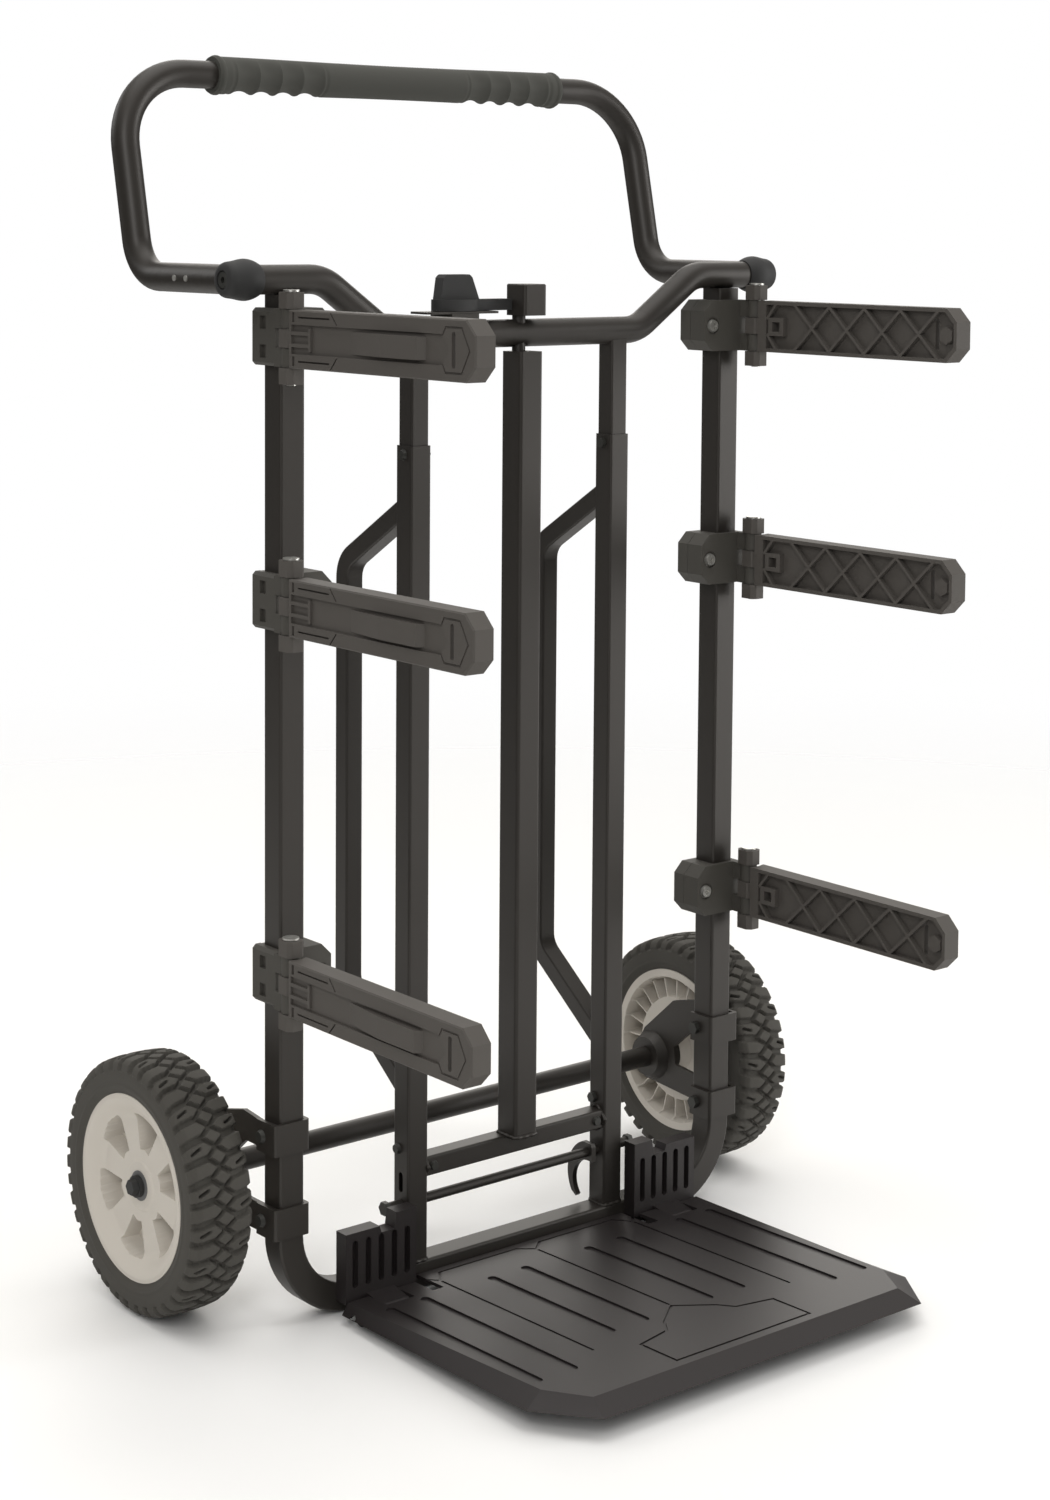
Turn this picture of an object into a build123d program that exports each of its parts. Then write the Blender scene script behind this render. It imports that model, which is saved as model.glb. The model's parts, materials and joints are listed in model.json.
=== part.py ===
"""Convertible hand truck: folding handle, toe plate and six box arms on a tube frame.

Frame: +Z up, ground at Z = 0, front (toe plate and arms) towards -Y, millimetres.
"""
import os
from math import atan2, cos, degrees, hypot, radians, sin, tan

from build123d import *

os.makedirs("parts", exist_ok=True)

# ---------------------------------------------------------------- driving sizes
# wheels and axle
wheel_radius = 112
tyre_width = 60
wheel_track = 632            # wheel centre to wheel centre
axle_setback = 99            # axle behind the plane of the uprights
axle_radius = 8
axle_tube_radius = 10
rim_radius = 81              # outside of the hub rim, inside of the tyre
rim_lip = 5
bush_radius = 13
cap_radius = 9.5

# outer frame
upright_spacing = 500        # centre to centre
upright_size = 25
upright_wall = 1.8
frame_bend = 66              # centreline radius of the two lower corners

# round top bar and handle
bar_radius = 12.5
bar_wall = 2
bar_end_height = 897.5
bar_drop = 50                # middle of the top bar below its ends
bar_middle = 284             # straight length of the middle
bar_shoulder = 425           # distance between the two shoulder corners
bar_bend = 40
handle_width = 593           # centre to centre of the handle's legs
handle_reach = 153           # pivot to the lower corner of a leg
handle_lean = 39             # top bar behind the lower corner
handle_rise = 178.5          # top bar above the pivot
handle_low_bend = 40
handle_top_bend = 68
grip_length = 398
grip_thickness = 4.5
finger_pitch = 24
knob_radius = 17.5
knob_length = 34
pivot_bolt_radius = 4

# inner frame
inner_spacing = 229
slim_size = 19
slim_wall = 1.6
sleeve_wall = 1.4
sleeve_gap = 0.1
sleeve_height = 752          # top of the outer sleeves
slim_overlap = 120
brace_size = 18
brace_setback = 96
brace_high_join = 700
brace_high_bend = 640
brace_low_bend = 250
brace_low_join = 178
brace_corner = 26

# centre post, its head and the latch beside it
post_width = 26
post_depth = 27
post_wall = 1.8
post_setback = -8.5          # post centre in front of the uprights
post_top_gap = 3.5           # post and head clear of the top bar
stem_radius = 6
stem_setback = -3
head_height = 28
head_shift = 4
latch_offset = -70           # knob axis left of centre
latch_base_radius = 24
latch_base_height = 10
latch_fin_height = 22
latch_fin_width = 12
latch_plate_length = 80
latch_plate_width = 28
latch_plate_thickness = 2
latch_tongue_width = 14

# lower cross tube, toe latch rod
cross_height = 108
cross_size = 18
rod_height = 76.5
rod_radius = 4.5
rod_length = 290

# arms and clamps
arm_heights = {"upper": 850, "middle": 628, "lower": 308}
arm_pin_spacing = 531        # hinge pin to hinge pin
arm_pin_setback = -33
arm_pin_radius = 4
arm_thickness = 19
arm_inner_offset = 8.5       # inner face inboard of the pin
arm_reach = 259              # pin to tip
arm_root = 11                # pin to the root of the bar
arm_height = 48
column_width = 17
column_depth = 20
column_height = 76
knuckle_height = 16
knuckle_centre = 16
knuckle_radius = 8
clamp_height = 48
clamp_front = 5              # clamp proud of the front of the upright
clamp_wall = 8
clamp_ear = 24               # ear inboard of the upright
ear_screw_inset = 13.5
parting = 2                  # parting line behind the upright's centre plane
parting_gap = 0.4

# axle brackets
bracket_wall = 4
collar_wall = 3.5
collar_height = 27
collar_heights = {"upper": 168, "lower": 94.5}
boss_radius = 24

# toe plate
toe_front = -341             # front edge, from the plane of the uprights
toe_tilt = 2                 # front edge raised, degrees
toe_pivot_setback = -46
toe_pin_radius = 4
toe_barrel_radius = 8        # the barrels rest on the floor
toe_width_rear = 422
toe_width_side = 434         # across the two front corners
toe_width_front = 362
toe_corner = 52              # length of the corner cuts
toe_thickness = 9.5
toe_skin = 3
toe_bevel_rear = 7
toe_bevel = 21
groove_width = 9
groove_depth = 1.6
groove_start = 18            # hinge line to the rear end of the long grooves
inner_grooves = (37, 75)     # distance of each long groove from the centre
outer_grooves = (149, 186)
inner_groove_length = 167
outer_groove_length = 206
notch_spacing = 113
line_width = 2.6             # fine embossed lines
line_depth = 1.2
toe_bracket_height = 62
toe_bracket_low = 13
toe_bracket_inner = 128
toe_bracket_outer = 204
toe_bracket_depth = 14.5

# clearances
running_gap = 0.05           # radial gap of a pin or shaft that turns
side_gap = 0.4               # flat faces that pass each other

# ---------------------------------------------------------------- shared places
frame_y = (-toe_front - axle_setback - wheel_radius) / 2
axle_y = frame_y + axle_setback
axle_z = wheel_radius
upright_x = upright_spacing / 2
half_tube = upright_size / 2
frame_low = half_tube        # centre of the lower tube, which stands on the floor
upright_top = bar_end_height - bar_radius
bar_low = bar_end_height - bar_drop
handle_x = handle_width / 2
inner_x = inner_spacing / 2
sleeve_size = slim_size + 2 * (sleeve_wall + sleeve_gap)
post_y = frame_y + post_setback
stem_y = frame_y + stem_setback
post_bottom = cross_height + cross_size / 2
post_top = bar_low - bar_radius - post_top_gap
head_bottom = bar_low + bar_radius + post_top_gap
pin_x = arm_pin_spacing / 2
pin_y = frame_y + arm_pin_setback
arm_inner_x = pin_x - arm_inner_offset
arm_outer_x = arm_inner_x + arm_thickness
toe_pivot_y = frame_y + toe_pivot_setback
toe_pivot_z = toe_barrel_radius
frame_front_y = frame_y - half_tube
wheel_inner_x = (wheel_track - tyre_width) / 2
wheel_outer_x = (wheel_track + tyre_width) / 2


def save(part, name):
    """Label a finished piece and write it to parts/."""
    part.label = name
    export_step(part, f"parts/{name}.step")


def both_sides(part, name):
    """Save the right-hand piece and its mirror image."""
    save(part, f"right_{name}")
    save(mirror(part, about=Plane.YZ), f"left_{name}")


def side_plane(x, facing=1):
    """Plane at x whose sketch X runs along +Y (facing 1) or -Y (facing -1), Z up."""
    return Plane(origin=(x, 0, 0), x_dir=(0, facing, 0), z_dir=(facing, 0, 0))


def front_plane(y):
    """Plane at y that faces the front, sketch X along +X, sketch Y up."""
    return Plane(origin=(0, y, 0), x_dir=(1, 0, 0), z_dir=(0, -1, 0))


# ---------------------------------------------------------------- outer frame
bolt_radius = 3
bracket_bolt_y = frame_y + 4.5

with BuildPart() as outer_frame:
    with BuildLine() as frame_path:
        FilletPolyline(
            (-upright_x, frame_y, upright_top),
            (-upright_x, frame_y, frame_low),
            (upright_x, frame_y, frame_low),
            (upright_x, frame_y, upright_top),
            radius=frame_bend,
        )
    with BuildSketch(Plane(frame_path.line @ 0, x_dir=(1, 0, 0), z_dir=(0, 0, -1))):
        RectangleRounded(upright_size, upright_size, 2.5)
        RectangleRounded(
            upright_size - 2 * upright_wall, upright_size - 2 * upright_wall, 1, mode=Mode.SUBTRACT
        )
    sweep(path=frame_path.line)
    with BuildSketch(side_plane(0)):
        with Locations(*[(bracket_bolt_y, z) for z in collar_heights.values()]):
            Circle(bolt_radius)
    extrude(amount=upright_x + upright_size, both=True, mode=Mode.SUBTRACT)
    with Locations((0, frame_y, upright_top + bar_radius)):
        Cylinder(bar_radius, 3 * upright_x, rotation=(0, 90, 0), mode=Mode.SUBTRACT)
save(outer_frame.part, "outer_frame")

# ---------------------------------------------------------------- top bar
bar_tip = handle_x + 4
with BuildPart() as top_bar:
    with BuildLine() as bar_path:
        FilletPolyline(
            (-bar_tip, frame_y, bar_end_height),
            (-bar_shoulder / 2, frame_y, bar_end_height),
            (-bar_middle / 2, frame_y, bar_low),
            (bar_middle / 2, frame_y, bar_low),
            (bar_shoulder / 2, frame_y, bar_end_height),
            (bar_tip, frame_y, bar_end_height),
            radius=bar_bend,
        )
    with BuildSketch(Plane(bar_path.line @ 0, x_dir=(0, 1, 0), z_dir=(1, 0, 0))):
        Circle(bar_radius)
        Circle(bar_radius - bar_wall, mode=Mode.SUBTRACT)
    sweep(path=bar_path.line)
    with BuildSketch(Plane.XY.offset(bar_low)):
        with Locations((0, stem_y)):
            Circle(stem_radius)
    extrude(amount=2 * bar_radius, both=True, mode=Mode.SUBTRACT)
save(top_bar.part, "top_bar")

plug_length = 22
with BuildPart() as bar_plugs:
    for side in (-1, 1):
        with BuildSketch(side_plane(side * bar_tip, side)):
            with Locations((side * frame_y, bar_end_height)):
                Circle(bar_radius - bar_wall)
                Circle(pivot_bolt_radius, mode=Mode.SUBTRACT)
        extrude(amount=-plug_length)
save(bar_plugs.part, "bar_end_plugs")

# ---------------------------------------------------------------- handle
handle_top_y = frame_y + handle_reach + handle_lean
handle_top_z = bar_end_height + handle_rise
handle_start = bar_radius + 1.5
rivet_radius = 2.5
rivet_places = (60, 78)
bend_split = 0.42            # between the lower and upper bend of a leg

with BuildPart() as handle_tube:
    with BuildLine() as handle_path:
        low_left = (-handle_x, frame_y + handle_reach, bar_end_height)
        low_right = (handle_x, frame_y + handle_reach, bar_end_height)
        start_left = (-handle_x, frame_y + handle_start, bar_end_height)
        start_right = (handle_x, frame_y + handle_start, bar_end_height)
        cut_y = frame_y + handle_reach + bend_split * handle_lean
        cut_z = bar_end_height + bend_split * handle_rise
        left_cut = (-handle_x, cut_y, cut_z)
        right_cut = (handle_x, cut_y, cut_z)
        top_left = (-handle_x, handle_top_y, handle_top_z)
        top_right = (handle_x, handle_top_y, handle_top_z)
        FilletPolyline(start_left, low_left, left_cut, radius=handle_low_bend)
        FilletPolyline(left_cut, top_left, top_right, right_cut, radius=handle_top_bend)
        FilletPolyline(right_cut, low_right, start_right, radius=handle_low_bend)
    with BuildSketch(Plane(start_left, x_dir=(1, 0, 0), z_dir=(0, 1, 0))):
        Circle(bar_radius)
        Circle(bar_radius - bar_wall, mode=Mode.SUBTRACT)
    sweep(path=handle_path.wire())
    with BuildSketch(side_plane(0)):
        with Locations(*[(frame_y + y, bar_end_height) for y in rivet_places]):
            Circle(rivet_radius)
    extrude(amount=2 * handle_x, both=True, mode=Mode.SUBTRACT)
save(handle_tube.part, "handle_tube")

with BuildPart() as handle_rivets:
    for side in (-1, 1):
        for y in rivet_places:
            with BuildSketch(side_plane(side * handle_x)):
                with Locations((frame_y + y, bar_end_height)):
                    Circle(rivet_radius)
            extrude(amount=bar_radius + 0.8, both=True)
save(handle_rivets.part, "handle_rivets")

grip_radius = bar_radius + grip_thickness
collar_length = 7
with BuildPart() as handle_grip:
    with BuildSketch(Plane(origin=(0, handle_top_y, handle_top_z), x_dir=(1, 0, 0), z_dir=(0, -1, 0))):
        with BuildLine():
            half = grip_length / 2
            Polyline(
                (-half, bar_radius),
                (-half, grip_radius - 1),
                (-half + 3, grip_radius + 1.5),
                (-half + collar_length, grip_radius + 1.5),
                (-half + collar_length + 2, grip_radius - 0.5),
                (-half + 5 * finger_pitch, grip_radius - 0.5),
                (-half + 5 * finger_pitch + 3, grip_radius),
                (half - 5 * finger_pitch - 3, grip_radius),
                (half - 5 * finger_pitch, grip_radius - 0.5),
                (half - collar_length - 2, grip_radius - 0.5),
                (half - collar_length, grip_radius + 1.5),
                (half - 3, grip_radius + 1.5),
                (half, grip_radius - 1),
                (half, bar_radius),
                close=True,
            )
        make_face()
    revolve(axis=Axis((0, handle_top_y, handle_top_z), (1, 0, 0)))
    groove_y = handle_top_y - 0.5 * grip_radius
    groove_z = handle_top_z - grip_radius - 4.5
    for side in (-1, 1):
        for index in range(4):
            groove_x = side * (half - collar_length - (index + 0.8) * finger_pitch)
            with Locations((groove_x, groove_y, groove_z)):
                Cylinder(9, 3 * grip_radius, rotation=(90, 0, 0), mode=Mode.SUBTRACT)
save(handle_grip.part, "handle_grip")

screw_recess = 8
knob_inner_x = handle_x - knob_length / 2 - 1.5
with BuildPart() as pivot_knob:
    knob_plane = Plane(
        origin=(knob_inner_x, frame_y, bar_end_height), x_dir=(1, 0, 0), z_dir=(0, -1, 0)
    )
    with BuildSketch(knob_plane):
        with BuildLine():
            Spline(
                (0, knob_radius - 4),
                (knob_length * 0.4, knob_radius),
                (knob_length * 0.75, knob_radius - 2),
                (knob_length, screw_recess + 2),
                tangents=[(1, 0.6), (0.15, -1)],
            )
            Polyline(
                (knob_length, screw_recess + 2),
                (knob_length, 0),
                (0, 0),
                (0, knob_radius - 4),
            )
        make_face()
    revolve(axis=Axis((0, frame_y, bar_end_height), (1, 0, 0)))
    with BuildSketch(side_plane(knob_inner_x)):
        with Locations((frame_y, bar_end_height)):
            Circle(bar_radius + running_gap)
    extrude(amount=bar_tip + side_gap - knob_inner_x, mode=Mode.SUBTRACT)
    with BuildSketch(side_plane(knob_inner_x)):
        with Locations((frame_y, bar_end_height)):
            Circle(pivot_bolt_radius + running_gap)
    extrude(amount=2 * knob_length, mode=Mode.SUBTRACT)
    with BuildSketch(side_plane(knob_inner_x + knob_length - 4)):
        with Locations((frame_y, bar_end_height)):
            Circle(screw_recess)
    extrude(amount=2 * knob_length, mode=Mode.SUBTRACT)
    with BuildSketch(Plane(origin=(handle_x, frame_y + handle_start, bar_end_height), z_dir=(0, 1, 0))):
        Circle(bar_radius)
    extrude(amount=knob_length, mode=Mode.SUBTRACT)
both_sides(pivot_knob.part, "pivot_knob")

bolt_head_x = knob_inner_x + knob_length - 4 + side_gap / 2
with BuildPart() as pivot_bolts:
    for side in (-1, 1):
        with BuildSketch(side_plane(side * bolt_head_x, side)):
            with Locations((side * frame_y, bar_end_height)):
                Circle(pivot_bolt_radius)
        extrude(amount=-(bolt_head_x - bar_tip + plug_length - 2))
        with BuildSketch(side_plane(side * bolt_head_x, side)):
            with Locations((side * frame_y, bar_end_height)):
                Circle(screw_recess - 1)
                RegularPolygon(3, 6, mode=Mode.SUBTRACT)
        extrude(amount=3)
save(pivot_bolts.part, "pivot_bolts")

# ---------------------------------------------------------------- inner frame
slim_bottom = sleeve_height - slim_overlap
sleeve_bottom = frame_low + half_tube
joint_bolt_z = sleeve_height - 8
low_bolt_z = 126
joint_radius = 3

with BuildPart() as slim_tube:
    with BuildSketch(Plane.XY.offset(slim_bottom)):
        with Locations((inner_x, frame_y)):
            RectangleRounded(slim_size, slim_size, 2)
            RectangleRounded(slim_size - 2 * slim_wall, slim_size - 2 * slim_wall, 1, mode=Mode.SUBTRACT)
    extrude(amount=bar_low - slim_bottom)
    with BuildSketch(side_plane(0)):
        with Locations((frame_y, joint_bolt_z)):
            Circle(joint_radius)
    extrude(amount=inner_spacing, mode=Mode.SUBTRACT)
    with Locations((0, frame_y, bar_low)):
        Cylinder(bar_radius, 2 * inner_spacing, rotation=(0, 90, 0), mode=Mode.SUBTRACT)
both_sides(slim_tube.part, "inner_tube")

with BuildPart() as sleeve:
    with BuildSketch(Plane.XY.offset(sleeve_bottom)):
        with Locations((inner_x, frame_y)):
            RectangleRounded(sleeve_size, sleeve_size, 2.2)
            RectangleRounded(
                sleeve_size - 2 * sleeve_wall, sleeve_size - 2 * sleeve_wall, 1, mode=Mode.SUBTRACT
            )
    extrude(amount=sleeve_height - sleeve_bottom)
    with BuildSketch(side_plane(0)):
        with Locations((frame_y, joint_bolt_z), (bracket_bolt_y, low_bolt_z)):
            Circle(joint_radius)
        with Locations((frame_y, rod_height)):
            Circle(rod_radius + running_gap)
    extrude(amount=inner_spacing, mode=Mode.SUBTRACT)
    with BuildSketch(side_plane(inner_x)):
        with Locations((frame_y, rod_height + 20)):
            SlotOverall(18, 6, rotation=90)
    extrude(amount=sleeve_size, mode=Mode.SUBTRACT)
both_sides(sleeve.part, "sleeve")

with BuildPart() as rear_brace:
    with BuildLine() as brace_path:
        FilletPolyline(
            (inner_x, frame_y, brace_high_join),
            (inner_x, frame_y + brace_setback, brace_high_bend),
            (inner_x, frame_y + brace_setback, brace_low_bend),
            (inner_x, frame_y, brace_low_join),
            radius=brace_corner,
        )
    with BuildSketch(Plane(brace_path.line @ 0, x_dir=(1, 0, 0), z_dir=brace_path.line % 0)):
        RectangleRounded(brace_size, brace_size, 2)
        RectangleRounded(brace_size - 3, brace_size - 3, 1, mode=Mode.SUBTRACT)
    sweep(path=brace_path.line)
    with Locations((inner_x, frame_y, (brace_high_join + brace_low_join) / 2)):
        Box(2 * brace_size, sleeve_size, 2 * brace_high_join, mode=Mode.SUBTRACT)
    with Locations((inner_x, frame_y - brace_size, (brace_high_join + brace_low_join) / 2)):
        Box(2 * brace_size, 2 * brace_size, 2 * brace_high_join, mode=Mode.SUBTRACT)
both_sides(rear_brace.part, "rear_brace")

cross_half = inner_x - sleeve_size / 2
with BuildPart() as cross_tube:
    with BuildSketch(side_plane(-cross_half)):
        with Locations((frame_y, cross_height)):
            RectangleRounded(cross_size, cross_size, 2)
            RectangleRounded(cross_size - 3, cross_size - 3, 1, mode=Mode.SUBTRACT)
    extrude(amount=2 * cross_half)
save(cross_tube.part, "lower_cross_tube")

# ---------------------------------------------------------------- centre post and head
with BuildPart() as centre_post:
    with BuildSketch(Plane.XY.offset(post_bottom)):
        with Locations((0, post_y)):
            RectangleRounded(post_width, post_depth, 3)
            RectangleRounded(post_width - 2 * post_wall, post_depth - 2 * post_wall, 1.5, mode=Mode.SUBTRACT)
    extrude(amount=post_top - post_bottom)
    with BuildSketch(Plane.XY.offset(post_top)):
        with Locations((0, post_y)):
            RectangleRounded(post_width, post_depth, 3)
        with Locations((0, stem_y)):
            Circle(stem_radius, mode=Mode.SUBTRACT)
    extrude(amount=-4)
save(centre_post.part, "centre_post")

with BuildPart() as post_head:
    with BuildSketch(Plane.XY.offset(head_bottom)):
        with Locations((head_shift, post_y)):
            RectangleRounded(post_width, post_depth, 3)
    extrude(amount=head_height)
    chamfer(post_head.faces().sort_by(Axis.Z)[-1].edges(), length=1)
    with BuildSketch(Plane.XY.offset(post_top - 20)):
        with Locations((0, stem_y)):
            Circle(stem_radius)
    extrude(amount=head_bottom - post_top + 20)
save(post_head.part, "post_head")

# ---------------------------------------------------------------- top latch
latch_plate_z = bar_low + bar_radius + 6
saddle_length = 30
saddle_wall = 3
latch_pin_radius = 4
latch_pin_length = 14

with BuildPart() as latch_plate:
    with BuildSketch(Plane.XY.offset(latch_plate_z)):
        with Locations((latch_offset, frame_y)):
            RectangleRounded(latch_plate_length, latch_plate_width, 4)
            Circle(latch_pin_radius, mode=Mode.SUBTRACT)
    extrude(amount=latch_plate_thickness)
    with BuildSketch(side_plane(latch_offset)):
        with Locations((frame_y, bar_low)):
            Circle(bar_radius + saddle_wall)
        with Locations((frame_y, bar_low + bar_radius)):
            Rectangle(2 * (bar_radius + saddle_wall), 2 * (latch_plate_z - bar_low - bar_radius))
        with Locations((frame_y, bar_low - bar_radius)):
            Rectangle(4 * bar_radius, 2 * bar_radius - 1, mode=Mode.SUBTRACT)
        with Locations((frame_y, bar_low)):
            Circle(bar_radius, mode=Mode.SUBTRACT)
    extrude(amount=saddle_length / 2, both=True)
    with BuildSketch(Plane.XY.offset(bar_low)):
        with Locations((latch_offset, frame_y)):
            Circle(latch_pin_radius)
    extrude(amount=4 * bar_radius, mode=Mode.SUBTRACT)
save(latch_plate.part, "latch_plate")

knob_base_z = latch_plate_z + latch_plate_thickness + side_gap
knob_top_z = knob_base_z + latch_base_height + latch_fin_height
tongue_reach = head_shift - post_width / 2 - latch_offset - 2
with BuildPart() as latch_knob:
    with BuildSketch(Plane.XY.offset(knob_base_z)):
        with Locations((latch_offset, frame_y)):
            Ellipse(latch_base_radius, 14)
        with Locations((latch_offset + tongue_reach / 2, frame_y)):
            Rectangle(tongue_reach, latch_tongue_width)
    extrude(amount=latch_base_height)
    with BuildSketch(front_plane(frame_y)):
        with BuildLine():
            Polyline(
                (latch_offset - latch_base_radius + 4, knob_base_z + latch_base_height - 1),
                (latch_offset - 17, knob_top_z - 3),
                (latch_offset - 14, knob_top_z),
                (latch_offset + 12, knob_top_z),
                (latch_offset + 15, knob_top_z - 3),
                (latch_offset + latch_base_radius - 1, knob_base_z + latch_base_height - 1),
                close=True,
            )
        make_face()
    extrude(amount=latch_fin_width / 2, both=True)
    with BuildSketch(Plane.XY.offset(knob_base_z)):
        with Locations((latch_offset, frame_y)):
            Circle(latch_pin_radius + running_gap)
    extrude(amount=latch_base_height + 4, mode=Mode.SUBTRACT)
    fillet(latch_knob.edges().group_by(Axis.Z)[-1], radius=1.5)
save(latch_knob.part, "latch_knob")

with BuildPart() as latch_pin:
    with BuildSketch(Plane.XY.offset(latch_plate_z - 5)):
        with Locations((latch_offset, frame_y)):
            Circle(latch_pin_radius)
    extrude(amount=5 + latch_pin_length)
save(latch_pin.part, "latch_pin")

# ---------------------------------------------------------------- toe latch rod
hook_x = cross_half - 10
hook_width = 5
with BuildPart() as toe_latch_rod:
    with BuildSketch(side_plane(-rod_length / 2)):
        with Locations((frame_y, rod_height)):
            Circle(rod_radius)
    extrude(amount=rod_length)
save(toe_latch_rod.part, "toe_latch_rod")

with BuildPart() as toe_latch_hook:
    with BuildSketch(side_plane(hook_x)):
        with BuildLine():
            Polyline(
                (frame_y - 8, rod_height + 6),
                (frame_y - 6, rod_height + 9),
                (frame_y + 6, rod_height + 9),
            )
            ThreePointArc(
                (frame_y + 6, rod_height + 9),
                (frame_y + 26, rod_height - 16),
                (frame_y + 21, rod_height - 42),
            )
            Polyline(
                (frame_y + 21, rod_height - 42),
                (frame_y + 15, rod_height - 46),
                (frame_y + 13.5, rod_height - 44),
            )
            ThreePointArc(
                (frame_y + 13.5, rod_height - 44),
                (frame_y + 16, rod_height - 18),
                (frame_y - 8, rod_height - 8),
            )
            Line((frame_y - 8, rod_height - 8), (frame_y - 8, rod_height + 6))
        make_face()
        with Locations((frame_y, rod_height)):
            Circle(rod_radius, mode=Mode.SUBTRACT)
    extrude(amount=hook_width / 2, both=True)
save(toe_latch_hook.part, "toe_latch_hook")

with BuildPart() as rod_nuts:
    for side in (-1, 1):
        with BuildSketch(side_plane(side * rod_length / 2, side)):
            with Locations((side * frame_y, rod_height)):
                RegularPolygon(6.5, 6)
                Circle(rod_radius, mode=Mode.SUBTRACT)
        extrude(amount=-5)
save(rod_nuts.part, "toe_latch_nuts")

# ---------------------------------------------------------------- axle and brackets
side_face = upright_x + half_tube
with BuildPart() as axle_bracket:
    with BuildSketch(side_plane(side_face)):
        with BuildLine():
            Polyline(
                (frame_y - half_tube, collar_heights["upper"] - 12),
                (frame_y - half_tube, collar_heights["upper"] + 12),
                (frame_y + 10, collar_heights["upper"] + 11),
                (frame_y + 38, collar_heights["upper"] + 14),
                (axle_y - 30, collar_heights["upper"] + 6),
                (axle_y + 12, axle_z + 25),
                (axle_y + 26, axle_z),
                (axle_y + 12, axle_z - 25),
                (frame_y + 34, collar_heights["lower"] - 13),
                (frame_y - half_tube, collar_heights["lower"] - 12),
                (frame_y - half_tube, collar_heights["lower"] + 12),
                (frame_y + 30, collar_heights["lower"] + 12),
                (axle_y - 34, axle_z - 2),
                (axle_y - 32, axle_z + 16),
                (frame_y + 34, collar_heights["upper"] - 12),
                close=True,
            )
        make_face()
    extrude(amount=bracket_wall)
    fillet(axle_bracket.edges().filter_by(Axis.X), radius=2.5)
    with BuildSketch(side_plane(side_face + bracket_wall)):
        with Locations((axle_y, axle_z)):
            Circle(boss_radius)
    extrude(amount=wheel_inner_x - 6 - side_face - bracket_wall, taper=6)
    with BuildSketch(side_plane(side_face)):
        with Locations((axle_y, axle_z)):
            Circle(boss_radius)
    extrude(amount=-10, taper=25)
    with BuildSketch(side_plane(0)):
        with Locations((axle_y, axle_z)):
            Circle(axle_radius)
        with Locations(*[(bracket_bolt_y, z) for z in collar_heights.values()]):
            Circle(bolt_radius)
    extrude(amount=wheel_track, mode=Mode.SUBTRACT)
both_sides(axle_bracket.part, "axle_bracket")

with BuildPart() as collars:
    for side in (-1, 1):
        outer_x = side * (side_face + bracket_wall)
        inner_face = side * (upright_x - half_tube)
        middle_x = (outer_x + inner_face) / 2
        hollow = abs(outer_x - inner_face)
        for height in collar_heights.values():
            with BuildSketch(Plane.XY.offset(height - collar_height / 2)):
                with Locations((middle_x, frame_y)):
                    RectangleRounded(hollow + 2 * collar_wall, upright_size + 2 * collar_wall, 3)
                    Rectangle(hollow, upright_size, mode=Mode.SUBTRACT)
                with Locations((middle_x, frame_y + half_tube + collar_wall)):
                    Rectangle(2 * hollow, 2 * collar_wall, mode=Mode.SUBTRACT)
            extrude(amount=collar_height)
    with BuildSketch(side_plane(0)):
        with Locations(*[(bracket_bolt_y, z) for z in collar_heights.values()]):
            Circle(bolt_radius)
    extrude(amount=wheel_track, both=True, mode=Mode.SUBTRACT)
save(collars.part, "bracket_collars")

with BuildPart() as bracket_bolts:
    for side in (-1, 1):
        outer_x = side_face + bracket_wall + collar_wall
        inner_face = upright_x - half_tube - collar_wall
        for height in collar_heights.values():
            with BuildSketch(side_plane(side * inner_face, side)):
                with Locations((side * bracket_bolt_y, height)):
                    Circle(bolt_radius)
            extrude(amount=outer_x - inner_face)
            with BuildSketch(side_plane(side * outer_x, side)):
                with Locations((side * bracket_bolt_y, height)):
                    Circle(6)
            extrude(amount=3.5, taper=20)
            with BuildSketch(side_plane(side * inner_face, side)):
                with Locations((side * bracket_bolt_y, height)):
                    RegularPolygon(6, 6)
            extrude(amount=-5)
save(bracket_bolts.part, "bracket_bolts")

axle_length = 2 * (wheel_outer_x - 8)
with BuildPart() as axle:
    with Locations((0, axle_y, axle_z)):
        Cylinder(axle_radius, axle_length, rotation=(0, 90, 0))
    chamfer(axle.edges().filter_by(GeomType.CIRCLE), length=1)
save(axle.part, "axle")

bracket_inner = side_face - 10
with BuildPart() as axle_tube:
    with BuildSketch(side_plane(-bracket_inner)):
        with Locations((axle_y, axle_z)):
            Circle(axle_tube_radius)
            Circle(axle_radius, mode=Mode.SUBTRACT)
    extrude(amount=2 * bracket_inner)
save(axle_tube.part, "axle_tube")

with BuildPart() as axle_caps:
    for side in (-1, 1):
        cap_x = side * (wheel_outer_x - 12 + side_gap)
        with BuildSketch(side_plane(cap_x, side)):
            with Locations((side * axle_y, axle_z)):
                Circle(cap_radius)
        extrude(amount=4)
        with BuildSketch(side_plane(cap_x + side * 4, side)):
            with Locations((side * axle_y, axle_z)):
                RegularPolygon(8, 6)
        extrude(amount=5, taper=12)
        with BuildSketch(side_plane(0, side)):
            with Locations((side * axle_y, axle_z)):
                Circle(axle_radius)
        extrude(amount=axle_length / 2, mode=Mode.SUBTRACT)
save(axle_caps.part, "axle_caps")

# ---------------------------------------------------------------- wheels
spoke_count = 6
spoke_face_x = wheel_outer_x - 12
hub_disc_x = wheel_inner_x + 8
hub_disc_radius = 54
hub_bore_depth = spoke_face_x - (wheel_inner_x - 5)
pocket_inner, pocket_outer = 30, 64
pocket_depth = 20
pocket_start = 41            # angle of the first pocket
trough_ribs = 24

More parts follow.
